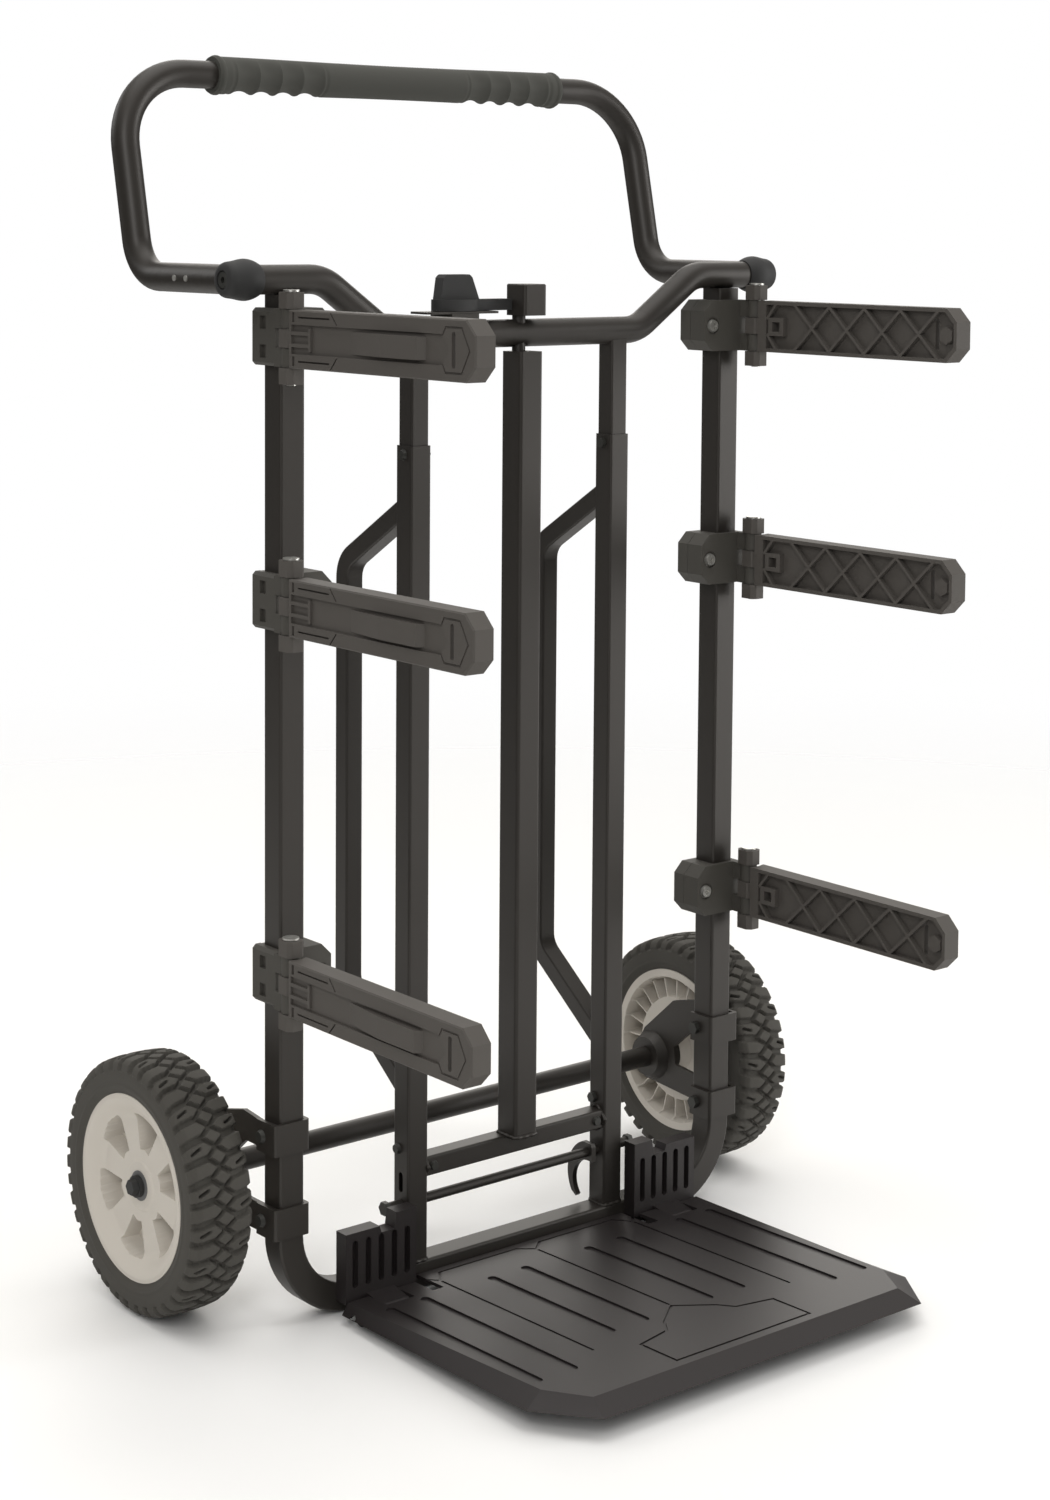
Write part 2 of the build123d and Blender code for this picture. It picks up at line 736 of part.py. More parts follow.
with BuildSketch(Plane.XY) as spoke_pocket:
    with BuildLine():
        Polyline(
            (pocket_inner, -6),
            (pocket_inner + 8, -9),
            (pocket_outer, -16),
            (pocket_outer, 16),
            (pocket_inner + 8, 9),
            (pocket_inner, 6),
            close=True,
        )
    make_face()
    fillet(spoke_pocket.vertices(), radius=3)

with BuildPart() as wheel_hub:
    with BuildSketch(Plane(origin=(0, axle_y, axle_z), x_dir=(1, 0, 0), z_dir=(0, -1, 0))):
        with BuildLine():
            Polyline(
                (wheel_outer_x - 3, rim_radius),
                (wheel_outer_x - 3, rim_radius - rim_lip),
                (spoke_face_x + 1, rim_radius - 9),
                (spoke_face_x, rim_radius - 12),
                (spoke_face_x, bush_radius),
                (wheel_inner_x - 5, bush_radius),
                (wheel_inner_x - 5, bush_radius + 8),
                (hub_disc_x, bush_radius + 10),
                (hub_disc_x, hub_disc_radius),
                (hub_disc_x + 24, hub_disc_radius + 5),
                (hub_disc_x + 24, rim_radius - 10),
                (wheel_inner_x + 4, rim_radius - rim_lip),
                (wheel_inner_x + 3, rim_radius),
                close=True,
            )
        make_face()
    revolve(axis=Axis((0, axle_y, axle_z), (1, 0, 0)))
    with BuildSketch(side_plane(spoke_face_x)):
        with Locations((axle_y, axle_z)):
            with PolarLocations(0, spoke_count, start_angle=pocket_start):
                add(spoke_pocket.sketch)
    extrude(amount=-pocket_depth, taper=6, mode=Mode.SUBTRACT)
    with BuildSketch(side_plane(hub_disc_x + 24)):
        with Locations((axle_y, axle_z)):
            with PolarLocations((hub_disc_radius + rim_radius) / 2 - 2, trough_ribs):
                Rectangle(rim_radius - hub_disc_radius - 4, 2)
    extrude(amount=-21)
both_sides(wheel_hub.part, "wheel_hub")

with BuildPart() as wheel_bush:
    with BuildSketch(side_plane(wheel_inner_x - 5)):
        with Locations((axle_y, axle_z)):
            Circle(bush_radius)
            Circle(axle_radius + running_gap, mode=Mode.SUBTRACT)
    extrude(amount=hub_bore_depth)
both_sides(wheel_bush.part, "wheel_bush")

lug_count = 22
with BuildPart() as tyre:
    with BuildSketch(Plane(origin=(0, axle_y, axle_z), x_dir=(1, 0, 0), z_dir=(0, -1, 0))):
        with BuildLine():
            Polyline((wheel_inner_x + 3, rim_radius), (wheel_outer_x - 3, rim_radius))
            Spline(
                (wheel_outer_x - 3, rim_radius),
                (wheel_outer_x, (rim_radius + wheel_radius) / 2),
                (wheel_outer_x - 3, wheel_radius - 6),
                tangents=[(0.6, 1), (-0.5, 1)],
            )
            Polyline((wheel_outer_x - 3, wheel_radius - 6), (wheel_outer_x - 9, wheel_radius - 1.5))
            ThreePointArc(
                (wheel_outer_x - 9, wheel_radius - 1.5),
                (wheel_track / 2, wheel_radius),
                (wheel_inner_x + 9, wheel_radius - 1.5),
            )
            Polyline((wheel_inner_x + 9, wheel_radius - 1.5), (wheel_inner_x + 3, wheel_radius - 6))
            Spline(
                (wheel_inner_x + 3, wheel_radius - 6),
                (wheel_inner_x, (rim_radius + wheel_radius) / 2),
                (wheel_inner_x + 3, rim_radius),
                tangents=[(-0.5, -1), (0.6, -1)],
            )
        make_face()
    revolve(axis=Axis((0, axle_y, axle_z), (1, 0, 0)))
    for index in range(lug_count):
        angle = 360 * index / lug_count
        lug_y = axle_y + wheel_radius * cos(radians(angle))
        lug_z = axle_z + wheel_radius * sin(radians(angle))
        half_step = 180 / lug_count
        with Locations(Location((wheel_outer_x - 8, lug_y, lug_z), (angle, 0, 0))):
            Box(26, 11, 4, rotation=(0, 0, 32), mode=Mode.SUBTRACT)
        lug_y = axle_y + wheel_radius * cos(radians(angle + half_step))
        lug_z = axle_z + wheel_radius * sin(radians(angle + half_step))
        with Locations(Location((wheel_inner_x + 8, lug_y, lug_z), (angle + half_step, 0, 0))):
            Box(26, 11, 4, rotation=(0, 0, -32), mode=Mode.SUBTRACT)
both_sides(tyre.part, "tyre")

# ---------------------------------------------------------------- arms and their clamps
root_y = pin_y - arm_root
tip_y = pin_y - arm_reach
tip_chamfer = 12
lattice_start = 60           # pin to the first of the crossed ribs
lattice_end = 236
lattice_cells = 4
tray_start = 22              # pin to the near end of the tray that the ribs cross
tray_border = 3.5
tray_depth = 5.5
rib = 2.6
slot_inset = 27              # tip to the slot near it
slot_length = 28
channel_start = 15           # pin to the near end of the channel between the two rails
channel_end = 226
channel_height = 24
channel_depth = 2.2
ramp_start = 92              # pin to the start of the raised ramp
ramp_crest = 142
ramp_end = 190
ramp_height = 3.6


def build_arm(height):
    """Right-hand arm, hinged on a vertical pin, reaching to the front."""
    half = arm_height / 2
    with BuildPart() as arm:
        with BuildSketch(side_plane(arm_inner_x)):
            with BuildLine():
                Polyline(
                    (root_y, height - half),
                    (root_y, height + half),
                    (tip_y + tip_chamfer, height + half),
                    (tip_y, height + half - tip_chamfer),
                    (tip_y, height - half + tip_chamfer),
                    (tip_y + tip_chamfer, height - half),
                    close=True,
                )
            make_face()
        extrude(amount=arm_thickness)
        chamfer(arm.faces().sort_by(Axis.X)[-1].edges(), length=1.2)
        # lattice side: a shallow tray crossed by ribs
        tray_half = half - tray_border
        tray_tip = tip_y + tray_border
        tray_corner = tip_chamfer - 1.5
        cell = (lattice_end - lattice_start) / lattice_cells
        diagonal = hypot(cell, 2 * tray_half)
        tilt = degrees(atan2(2 * tray_half, cell))
        with BuildSketch(side_plane(arm_inner_x)):
            with BuildLine():
                Polyline(
                    (pin_y - tray_start, height - tray_half),
                    (pin_y - tray_start, height + tray_half),
                    (tray_tip + tray_corner, height + tray_half),
                    (tray_tip, height + tray_half - tray_corner),
                    (tray_tip, height - tray_half + tray_corner),
                    (tray_tip + tray_corner, height - tray_half),
                    close=True,
                )
            make_face()
            for index in range(lattice_cells):
                cell_y = pin_y - lattice_start - (index + 0.5) * cell
                with Locations((cell_y, height)):
                    Rectangle(diagonal + 3, rib, rotation=tilt, mode=Mode.SUBTRACT)
                    Rectangle(diagonal + 3, rib, rotation=-tilt, mode=Mode.SUBTRACT)
            with Locations((tip_y + 12.5, height)):
                RegularPolygon(8, 6, rotation=30, mode=Mode.SUBTRACT)
            with Locations((pin_y - tray_start - 13, height)):
                Rectangle(20, 17, mode=Mode.SUBTRACT)
            for turn in (-1, 1):
                with Locations((pin_y - tray_start - 8, height + turn * (tray_half - 5))):
                    Rectangle(22, rib, rotation=-turn * 50, mode=Mode.SUBTRACT)
        extrude(amount=tray_depth, mode=Mode.SUBTRACT)
        with BuildSketch(side_plane(arm_inner_x)):
            with Locations((pin_y - tray_start - 13, height)):
                Rectangle(10, 9)
        extrude(amount=8, mode=Mode.SUBTRACT)
        # outer side: a channel between two rails, with a ramp and a latch bracket in it
        channel_half = channel_height / 2
        with BuildSketch(side_plane(arm_outer_x)):
            with BuildLine():
                Polyline(
                    (pin_y - channel_start, height - channel_half),
                    (pin_y - channel_start, height + channel_half),
                    (pin_y - channel_end + 9, height + channel_half),
                    (pin_y - channel_end, height),
                    (pin_y - channel_end + 9, height - channel_half),
                    close=True,
                )
            make_face()
            with Locations((pin_y - channel_start - 26, height)):
                Rectangle(3, 19, mode=Mode.SUBTRACT)
            with Locations(
                (pin_y - channel_start - 12, height + 5),
                (pin_y - channel_start - 12, height - 5),
            ):
                Rectangle(25, 3, mode=Mode.SUBTRACT)
        extrude(amount=-channel_depth, mode=Mode.SUBTRACT)
        rail_height = (half + channel_half) / 2
        with BuildSketch(side_plane(arm_outer_x)):
            for side in (-1, 1):
                with Locations((pin_y - channel_start - 3, height + side * rail_height)):
                    Rectangle(3.2, 8)
                with Locations((pin_y - channel_start - 32, height + side * rail_height)):
                    Rectangle(44, 1.4)
                with Locations((pin_y - channel_start - 60, height + side * rail_height)):
                    Rectangle(13, 1.4, rotation=side * 48)
        extrude(amount=-channel_depth, mode=Mode.SUBTRACT)
        with BuildSketch(Plane.XY.offset(height - 9)):
            with BuildLine():
                Polyline(
                    (arm_outer_x - channel_depth - 0.5, pin_y - ramp_start),
                    (arm_outer_x + ramp_height, pin_y - ramp_crest),
                    (arm_outer_x + ramp_height, pin_y - ramp_end),
                    (arm_outer_x - channel_depth - 0.5, pin_y - ramp_end - 5),
                    close=True,
                )
            make_face()
        extrude(amount=18)
        with BuildSketch(side_plane(arm_outer_x)):
            with Locations((tip_y + slot_inset, height)):
                RegularPolygon(21, 6)
                RegularPolygon(19, 6, mode=Mode.SUBTRACT)
        extrude(amount=-1, mode=Mode.SUBTRACT)
        with BuildSketch(side_plane(arm_inner_x)):
            with Locations((tip_y + slot_inset, height)):
                SlotOverall(slot_length, 4.5, rotation=90)
        extrude(amount=arm_thickness, mode=Mode.SUBTRACT)
        # hinge column, interleaved with the two clamp knuckles
        with BuildSketch(Plane.XY.offset(height - column_height / 2)):
            with Locations((pin_x, pin_y)):
                Rectangle(column_width, column_depth)
            chamfer(vertices(), length=4)
        extrude(amount=column_height)
        with BuildSketch(Plane.XY.offset(height - half)):
            with Locations((pin_x - 0.5, (pin_y - column_depth / 2 + root_y) / 2 - 1)):
                Rectangle(arm_thickness - 5, 8)
        extrude(amount=arm_height)
        sweep_radius = knuckle_radius + side_gap
        for centre in (-knuckle_centre, knuckle_centre):
            with BuildSketch(Plane.XY.offset(height + centre - knuckle_height / 2 - side_gap)):
                with Locations((pin_x, pin_y)):
                    Circle(sweep_radius + 4.5)
            extrude(amount=knuckle_height + 2 * side_gap, mode=Mode.SUBTRACT)
        with BuildSketch(Plane.XY.offset(height - column_height / 2)):
            with Locations((pin_x, pin_y)):
                Circle(arm_pin_radius + running_gap)
        extrude(amount=column_height, mode=Mode.SUBTRACT)
    return arm.part


clamp_in = upright_x - half_tube - clamp_ear
clamp_out = upright_x + half_tube + clamp_wall
clamp_front_y = frame_front_y - clamp_front
clamp_back_y = frame_y + half_tube + clamp_front
parting_y = frame_y + parting
ear_screw_x = upright_x - half_tube - ear_screw_inset
ear_screw_radius = 3
ear_head_radius = 6


def build_clamp(height, front):
    """Front half (with the outer plate and knuckles) or back half of a right-hand clamp."""
    low = height - clamp_height / 2
    with BuildPart() as clamp:
        with BuildSketch(front_plane(clamp_front_y if front else parting_y + parting_gap)):
            with BuildLine():
                outer = clamp_out if front else upright_x + half_tube
                Polyline(
                    (outer, low),
                    (outer, low + clamp_height),
                    (clamp_in + 10, low + clamp_height),
                    (clamp_in, low + clamp_height - 10),
                    (clamp_in, low + 10),
                    (clamp_in + 10, low),
                    close=True,
                )
            make_face()
        depth = parting_y - clamp_front_y if front else clamp_back_y - parting_y - parting_gap
        extrude(amount=-depth)
        if front:
            plate_x = upright_x + half_tube
            with BuildSketch(Plane.XY.offset(low)):
                with Locations((plate_x + clamp_wall / 2, (clamp_front_y + clamp_back_y) / 2)):
                    Rectangle(clamp_wall, clamp_back_y - clamp_front_y)
            extrude(amount=clamp_height)
            chamfer(clamp.edges().filter_by(Axis.Y).group_by(Axis.X)[-1], length=3)
            for centre in (-knuckle_centre, knuckle_centre):
                with BuildSketch(Plane.XY.offset(height + centre - knuckle_height / 2)):
                    with Locations((pin_x, pin_y)):
                        Circle(knuckle_radius)
                    with Locations((pin_x, (pin_y + clamp_front_y + 1) / 2)):
                        Rectangle(2 * knuckle_radius - 4, clamp_front_y + 1 - pin_y)
                extrude(amount=knuckle_height)
            with BuildSketch(Plane.XY.offset(low)):
                with Locations((pin_x, pin_y)):
                    Circle(arm_pin_radius)
            extrude(amount=clamp_height, mode=Mode.SUBTRACT)
            with BuildSketch(side_plane(clamp_out)):
                with Locations((frame_y + 2, height + 12), (frame_y + 2, height - 12)):
                    Rectangle(9, 11)
            extrude(amount=-3.5, mode=Mode.SUBTRACT)
            with BuildSketch(front_plane(clamp_front_y)):
                with Locations((ear_screw_x, height)):
                    Circle(ear_head_radius + 2)
            extrude(amount=-1.2, mode=Mode.SUBTRACT)
        else:
            chamfer(clamp.faces().sort_by(Axis.Y)[-1].edges(), length=1.5)
        with BuildSketch(Plane.XY.offset(low)):
            with Locations((upright_x, frame_y)):
                RectangleRounded(upright_size, upright_size, 2.5)
        extrude(amount=clamp_height, mode=Mode.SUBTRACT)
        with BuildSketch(front_plane(clamp_front_y)):
            with Locations((ear_screw_x, height)):
                Circle(ear_screw_radius)
        extrude(amount=-2 * upright_size, mode=Mode.SUBTRACT)
    return clamp.part


for level, arm_z in arm_heights.items():
    both_sides(build_arm(arm_z), f"{level}_arm")
    both_sides(build_clamp(arm_z, True), f"{level}_clamp_front")

clamp_backs = Compound([build_clamp(arm_z, False) for arm_z in arm_heights.values()])
both_sides(clamp_backs, "clamp_backs")

with BuildPart() as arm_pins:
    for side in (-1, 1):
        for arm_z in arm_heights.values():
            with BuildSketch(Plane.XY.offset(arm_z - column_height / 2 - 1)):
                with Locations((side * pin_x, pin_y)):
                    Circle(arm_pin_radius)
            extrude(amount=column_height + 2)
            with BuildSketch(Plane.XY.offset(arm_z + column_height / 2 + side_gap)):
                with Locations((side * pin_x, pin_y)):
                    Circle(arm_pin_radius + 3)
            extrude(amount=1.6)
save(arm_pins.part, "arm_hinge_pins")

with BuildPart() as clamp_screws:
    for side in (-1, 1):
        for arm_z in arm_heights.values():
            with BuildSketch(front_plane(clamp_front_y + 1.2)):
                with Locations((side * ear_screw_x, arm_z)):
                    Circle(ear_screw_radius)
            extrude(amount=-(clamp_back_y - clamp_front_y))
            with BuildSketch(front_plane(clamp_front_y + 1.2)):
                with Locations((side * ear_screw_x, arm_z)):
                    Circle(ear_head_radius)
            extrude(amount=3.2, taper=15)
            with BuildSketch(front_plane(clamp_front_y - 2)):
                with Locations((side * ear_screw_x, arm_z)):
                    Rectangle(6, 1.4)
                    Rectangle(1.4, 6)
            extrude(amount=-1.4, mode=Mode.SUBTRACT)
            with BuildSketch(front_plane(clamp_back_y)):
                with Locations((side * ear_screw_x, arm_z)):
                    RegularPolygon(5.5, 6)
            extrude(amount=-4)
save(clamp_screws.part, "clamp_screws")

# ---------------------------------------------------------------- toe plate and its brackets
toe_front_y = frame_y + toe_front
toe_side_rear_y = toe_pivot_y + 15
toe_middle_rear_y = toe_pivot_y + 29
toe_top = toe_pivot_z + toe_thickness
bracket_front_y = frame_front_y - toe_bracket_depth
middle_half = toe_bracket_inner - 8
barrels = ((132, 152), (182, 202))
lug_gaps = ((middle_half, barrels[0][0]), (barrels[0][1], barrels[1][0]))


def toe_outline(rise, skin=0):
    """Outline of the toe plate, rise 0 for its lower edge and 1 for its top, moved in by skin."""
    rear_x = toe_width_rear / 2 - rise * toe_bevel_rear - skin
    side_x = toe_width_side / 2 - rise * toe_bevel - skin
    front_x = toe_width_front / 2 - rise * toe_bevel / 3 - skin
    front = toe_front_y + rise * toe_bevel + skin
    corner = toe_front_y + toe_corner + rise * toe_bevel / 3
    return [
        (-middle_half, toe_middle_rear_y),
        (-middle_half, toe_side_rear_y),
        (-rear_x, toe_side_rear_y),
        (-side_x, corner),
        (-front_x, front),
        (front_x, front),
        (side_x, corner),
        (rear_x, toe_side_rear_y),
        (middle_half, toe_side_rear_y),
        (middle_half, toe_middle_rear_y),
    ]


with BuildPart() as toe_plate:
    for skin, mode in ((0, Mode.ADD), (toe_skin, Mode.SUBTRACT)):
        for rise in (0, 1):
            with BuildSketch(Plane.XY.offset(toe_pivot_z + rise * (toe_thickness - skin))):
                with BuildLine():
                    Polyline(*toe_outline(rise, skin), close=True)
                make_face()
        loft(mode=mode)
    # hinge barrels and the slots between them for the lugs of the brackets
    for side in (-1, 1):
        for low, high in lug_gaps:
            with BuildSketch(side_plane(side * low, side)):
                with Locations((side * (toe_pivot_y + 3), toe_pivot_z)):
                    Rectangle(28, 6 * toe_thickness)
            extrude(amount=high - low, mode=Mode.SUBTRACT)
        for low, high in barrels:
            with BuildSketch(side_plane(side * low, side)):
                with Locations((side * toe_pivot_y, toe_pivot_z)):
                    Circle(toe_barrel_radius)
                with Locations((side * (toe_pivot_y - 7), toe_top - 3)):
                    Rectangle(22, 6)
            extrude(amount=high - low)
    with BuildSketch(side_plane(-toe_width_rear / 2)):
        with Locations((toe_pivot_y, toe_pivot_z)):
            Circle(toe_pin_radius + running_gap)
    extrude(amount=toe_width_rear, mode=Mode.SUBTRACT)
    # long embossed grooves
    with BuildSketch(Plane.XY.offset(toe_top)):
        for places, length in ((inner_grooves, inner_groove_length), (outer_grooves, outer_groove_length)):
            for place in places:
                groove_y = toe_pivot_y - groove_start - length / 2
                with Locations((-place, groove_y), (place, groove_y)):
                    SlotOverall(length, groove_width, rotation=90)
    extrude(amount=-groove_depth, mode=Mode.SUBTRACT)
    # stepped line along the rear with three notches, and a plain panel at the front
    step_y = toe_pivot_y + 12
    badge_y = toe_front_y + 31
    with BuildSketch(Plane.XY.offset(toe_top)):
        with BuildLine():
            Polyline(
                (-notch_spacing - 9, step_y + 2),
                (-notch_spacing, step_y - 8),
                (-notch_spacing + 12, step_y + 8),
                (-14, step_y + 8),
                (0, step_y - 4),
                (14, step_y + 8),
                (notch_spacing - 12, step_y + 8),
                (notch_spacing, step_y - 8),
                (notch_spacing + 9, step_y + 2),
            )
        trace(line_width=line_width)
        with BuildLine():
            Polyline(
                (-76, badge_y),
                (-76, badge_y + 44),
                (-40, badge_y + 52),
                (-30, badge_y + 66),
                (0, badge_y + 90),
                (30, badge_y + 66),
                (40, badge_y + 52),
                (76, badge_y + 44),
                (76, badge_y),
                close=True,
            )
        trace(line_width=line_width)
    extrude(amount=-line_depth, mode=Mode.SUBTRACT)
    with BuildSketch(Plane.XY.offset(toe_top)):
        for place, start, end in (
            (-notch_spacing, step_y - 8, toe_pivot_y - outer_groove_length),
            (notch_spacing, step_y - 8, toe_pivot_y - outer_groove_length),
            (0, step_y - 4, badge_y + 90),
        ):
            with Locations((place, (start + end) / 2)):
                Rectangle(line_width, start - end - 2 * line_width)
    extrude(amount=-line_depth, mode=Mode.SUBTRACT)
tilted_plate = toe_plate.part.rotate(Axis((0, toe_pivot_y, toe_pivot_z), (-1, 0, 0)), toe_tilt)
save(tilted_plate, "toe_plate")

lug = (barrels[0][1] + side_gap, barrels[1][0] - side_gap)
with BuildPart() as toe_bracket:
    low = toe_bracket_low
    high = toe_bracket_low + toe_bracket_height
    with BuildSketch(front_plane(bracket_front_y)):
        with BuildLine():
            Polyline(
                (toe_bracket_inner, low),
                (toe_bracket_inner, high + 8),
                (toe_bracket_inner + 22, high + 8),
                (toe_bracket_inner + 24, high - 6),
                (toe_bracket_inner + 38, high - 6),
                (toe_bracket_inner + 40, high),
                (toe_bracket_outer, high),
                (toe_bracket_outer, low),
                close=True,
            )
        make_face()
    extrude(amount=bracket_front_y - frame_front_y)
    with BuildSketch(front_plane(bracket_front_y)):
        for index in range(5):
            with Locations((toe_bracket_inner + 10 + index * 14, (low + high) / 2 + 3)):
                SlotOverall(42, 6, rotation=90)
    extrude(amount=-5, mode=Mode.SUBTRACT)
    with BuildSketch(side_plane(lug[0])):
        with Locations((toe_pivot_y, toe_pivot_z)):
            Circle(toe_pin_radius + 3.5)
        with BuildLine():
            Polyline(
                (toe_pivot_y, toe_pivot_z - toe_pin_radius - 3.5),
                (frame_front_y, toe_pivot_z - toe_pin_radius - 3.5),
                (frame_front_y, low + 8),
                (toe_pivot_y, toe_pivot_z + toe_pin_radius + 3.5),
                close=True,
            )
        make_face()
    extrude(amount=lug[1] - lug[0])
    with BuildSketch(side_plane(0)):
        with Locations((toe_pivot_y, toe_pivot_z)):
            Circle(toe_pin_radius)
    extrude(amount=toe_width_rear, mode=Mode.SUBTRACT)
both_sides(toe_bracket.part, "toe_bracket")

with BuildPart() as toe_pins:
    for side in (-1, 1):
        with BuildSketch(side_plane(side * (barrels[0][0] - 3), side)):
            with Locations((side * toe_pivot_y, toe_pivot_z)):
                Circle(toe_pin_radius)
        extrude(amount=barrels[1][1] + 2 - (barrels[0][0] - 3))
save(toe_pins.part, "toe_hinge_pins")

# ---------------------------------------------------------------- frame bolts and screws
with BuildPart() as frame_bolts:
    for side in (-1, 1):
        for bolt_y, height in ((frame_y, joint_bolt_z), (bracket_bolt_y, low_bolt_z)):
            outer_face = inner_x + sleeve_size / 2
            inner_face = inner_x - sleeve_size / 2
            with BuildSketch(side_plane(side * inner_face, side)):
                with Locations((side * bolt_y, height)):
                    Circle(joint_radius)
            extrude(amount=sleeve_size)
            with BuildSketch(side_plane(side * outer_face, side)):
                with Locations((side * bolt_y, height)):
                    Circle(5)
            extrude(amount=3, taper=20)
            with BuildSketch(side_plane(side * inner_face, side)):
                with Locations((side * bolt_y, height)):
                    RegularPolygon(5, 6)
            extrude(amount=-4)
        with BuildSketch(front_plane(frame_y - cross_size / 2)):
            with Locations((side * (cross_half - 8), cross_height)):
                Circle(4.5)
        extrude(amount=2.5, taper=20)
save(frame_bolts.part, "frame_bolts")
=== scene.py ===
"""Looks of a convertible hand truck: treaded wheels, padded handle, folding arms and toe plate."""
import json
from math import cos, pi, radians, sin

import bpy
import numpy as np
from bpy.props import FloatProperty, FloatVectorProperty, IntProperty, PointerProperty
from mathutils import Matrix, Vector


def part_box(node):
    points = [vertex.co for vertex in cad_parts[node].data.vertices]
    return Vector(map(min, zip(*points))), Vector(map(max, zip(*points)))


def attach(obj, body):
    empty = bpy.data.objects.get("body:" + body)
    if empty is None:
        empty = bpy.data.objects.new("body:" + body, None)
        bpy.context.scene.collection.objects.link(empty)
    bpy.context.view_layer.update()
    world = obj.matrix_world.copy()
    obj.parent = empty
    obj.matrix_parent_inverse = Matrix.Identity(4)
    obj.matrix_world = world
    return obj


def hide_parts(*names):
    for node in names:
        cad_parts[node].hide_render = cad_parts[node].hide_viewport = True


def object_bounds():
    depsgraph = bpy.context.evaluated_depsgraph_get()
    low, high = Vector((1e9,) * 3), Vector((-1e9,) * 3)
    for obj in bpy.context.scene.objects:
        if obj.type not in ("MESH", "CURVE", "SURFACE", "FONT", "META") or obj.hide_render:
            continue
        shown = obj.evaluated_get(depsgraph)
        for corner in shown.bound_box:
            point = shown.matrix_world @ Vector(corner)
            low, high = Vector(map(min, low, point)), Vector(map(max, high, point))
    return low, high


bl_info = {
    "name": "Convertible hand truck",
    "version": (1, 0, 0),
    "blender": (4, 5, 0),
    "location": "View3D > Sidebar > Hand truck",
    "description": "Dresses the hand truck's frame with finished pieces and materials",
    "category": "Object",
}

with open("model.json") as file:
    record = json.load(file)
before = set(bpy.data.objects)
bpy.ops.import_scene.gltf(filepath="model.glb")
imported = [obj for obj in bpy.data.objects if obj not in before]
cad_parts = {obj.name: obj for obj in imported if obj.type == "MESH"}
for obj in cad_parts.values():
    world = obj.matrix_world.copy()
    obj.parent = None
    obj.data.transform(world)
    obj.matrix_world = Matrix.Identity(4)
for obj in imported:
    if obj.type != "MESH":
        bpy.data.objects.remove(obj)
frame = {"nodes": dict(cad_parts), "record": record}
cad_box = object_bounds()
nodes = frame["nodes"]
slot_colours = {entry["slot"]: entry["base_color"] for entry in frame["record"]["materials"]}
node_slots = {entry["node"]: entry["material_slot"] for entry in frame["record"]["subparts"]}
SIDES = (("left", -1), ("right", 1))


# ---------------------------------------------------------------- settings a user may change
def size(name, description, default, subtype="DISTANCE"):
    """A length in metres, or an angle."""
    return FloatProperty(
        name=name, description=description, default=default, precision=4, subtype=subtype
    )


def colour(name, description, slot):
    """The colour of a finish, as the record gives it."""
    return FloatVectorProperty(
        name=name, description=description, default=slot_colours[slot], subtype="COLOR",
        size=3, min=0, max=1,
    )


class TruckSizes(bpy.types.PropertyGroup):
    """Sizes of the details that the CAD model leaves plain."""

    tread_pitches: IntProperty(name="Tread pitches", description="Rows of lugs round a tyre", default=20)
    tread_depth: size("Tread depth", "Depth of the grooves between the lugs", 0.0046)
    tread_groove: size("Tread groove", "Width of the grooves between the lugs", 0.0042)
    finger_pitch: size("Finger pitch", "Distance between two finger grooves of the grip", 0.024)
    finger_depth: size("Finger depth", "Depth of a finger groove", 0.0034)
    bead_radius: size("Bead radius", "Radius of a weld bead", 0.0019)


class TruckColours(bpy.types.PropertyGroup):
    """Colours of the finishes."""

    frame_paint: colour("Frame paint", "Powder coat on the tubes", "frame_paint")
    toe_paint: colour("Toe plate paint", "Gloss paint on the toe plate and its brackets", "toe_paint")
    dark_fastener: colour("Dark fasteners", "Black-plated bolts", "dark_fastener")
    bright_zinc: colour("Bright zinc", "Zinc-plated pins and screws", "bright_zinc")
    arm_plastic: colour("Arm plastic", "Moulded arms", "arm_plastic")
    clamp_plastic: colour("Clamp plastic", "Moulded clamps", "clamp_plastic")
    knob_plastic: colour("Knob plastic", "Pivot and latch knobs", "knob_plastic")
    bush_plastic: colour("Bush plastic", "Wheel bushes", "bush_plastic")
    grip_rubber: colour("Grip rubber", "Handle grip", "grip_rubber")
    tyre_rubber: colour("Tyre rubber", "Tyres", "tyre_rubber")
    hub_plastic: colour("Hub plastic", "Wheel hubs", "hub_plastic")


# ---------------------------------------------------------------- materials
class Field:
    """A number or vector that varies over a surface, with arithmetic that adds nodes."""

    def __init__(self, finish, socket):
        self.finish = finish
        self.socket = socket

    def maths(self, operation, first, second):
        return self.finish.add("ShaderNodeMath", {"operation": operation}, {0: first, 1: second})

    def __add__(self, other):
        return self.maths("ADD", self, other)

    __radd__ = __add__

    def __sub__(self, other):
        return self.maths("SUBTRACT", self, other)

    def __rsub__(self, other):
        return self.maths("SUBTRACT", other, self)

    def __mul__(self, other):
        return self.maths("MULTIPLY", self, other)

    __rmul__ = __mul__

    def between(self, low, high):
        """0 below low, 1 above high, smooth in between."""
        limits = {"Value": self, "From Min": low, "From Max": high}
        return self.finish.add("ShaderNodeMapRange", {"interpolation_type": "SMOOTHSTEP"}, limits)


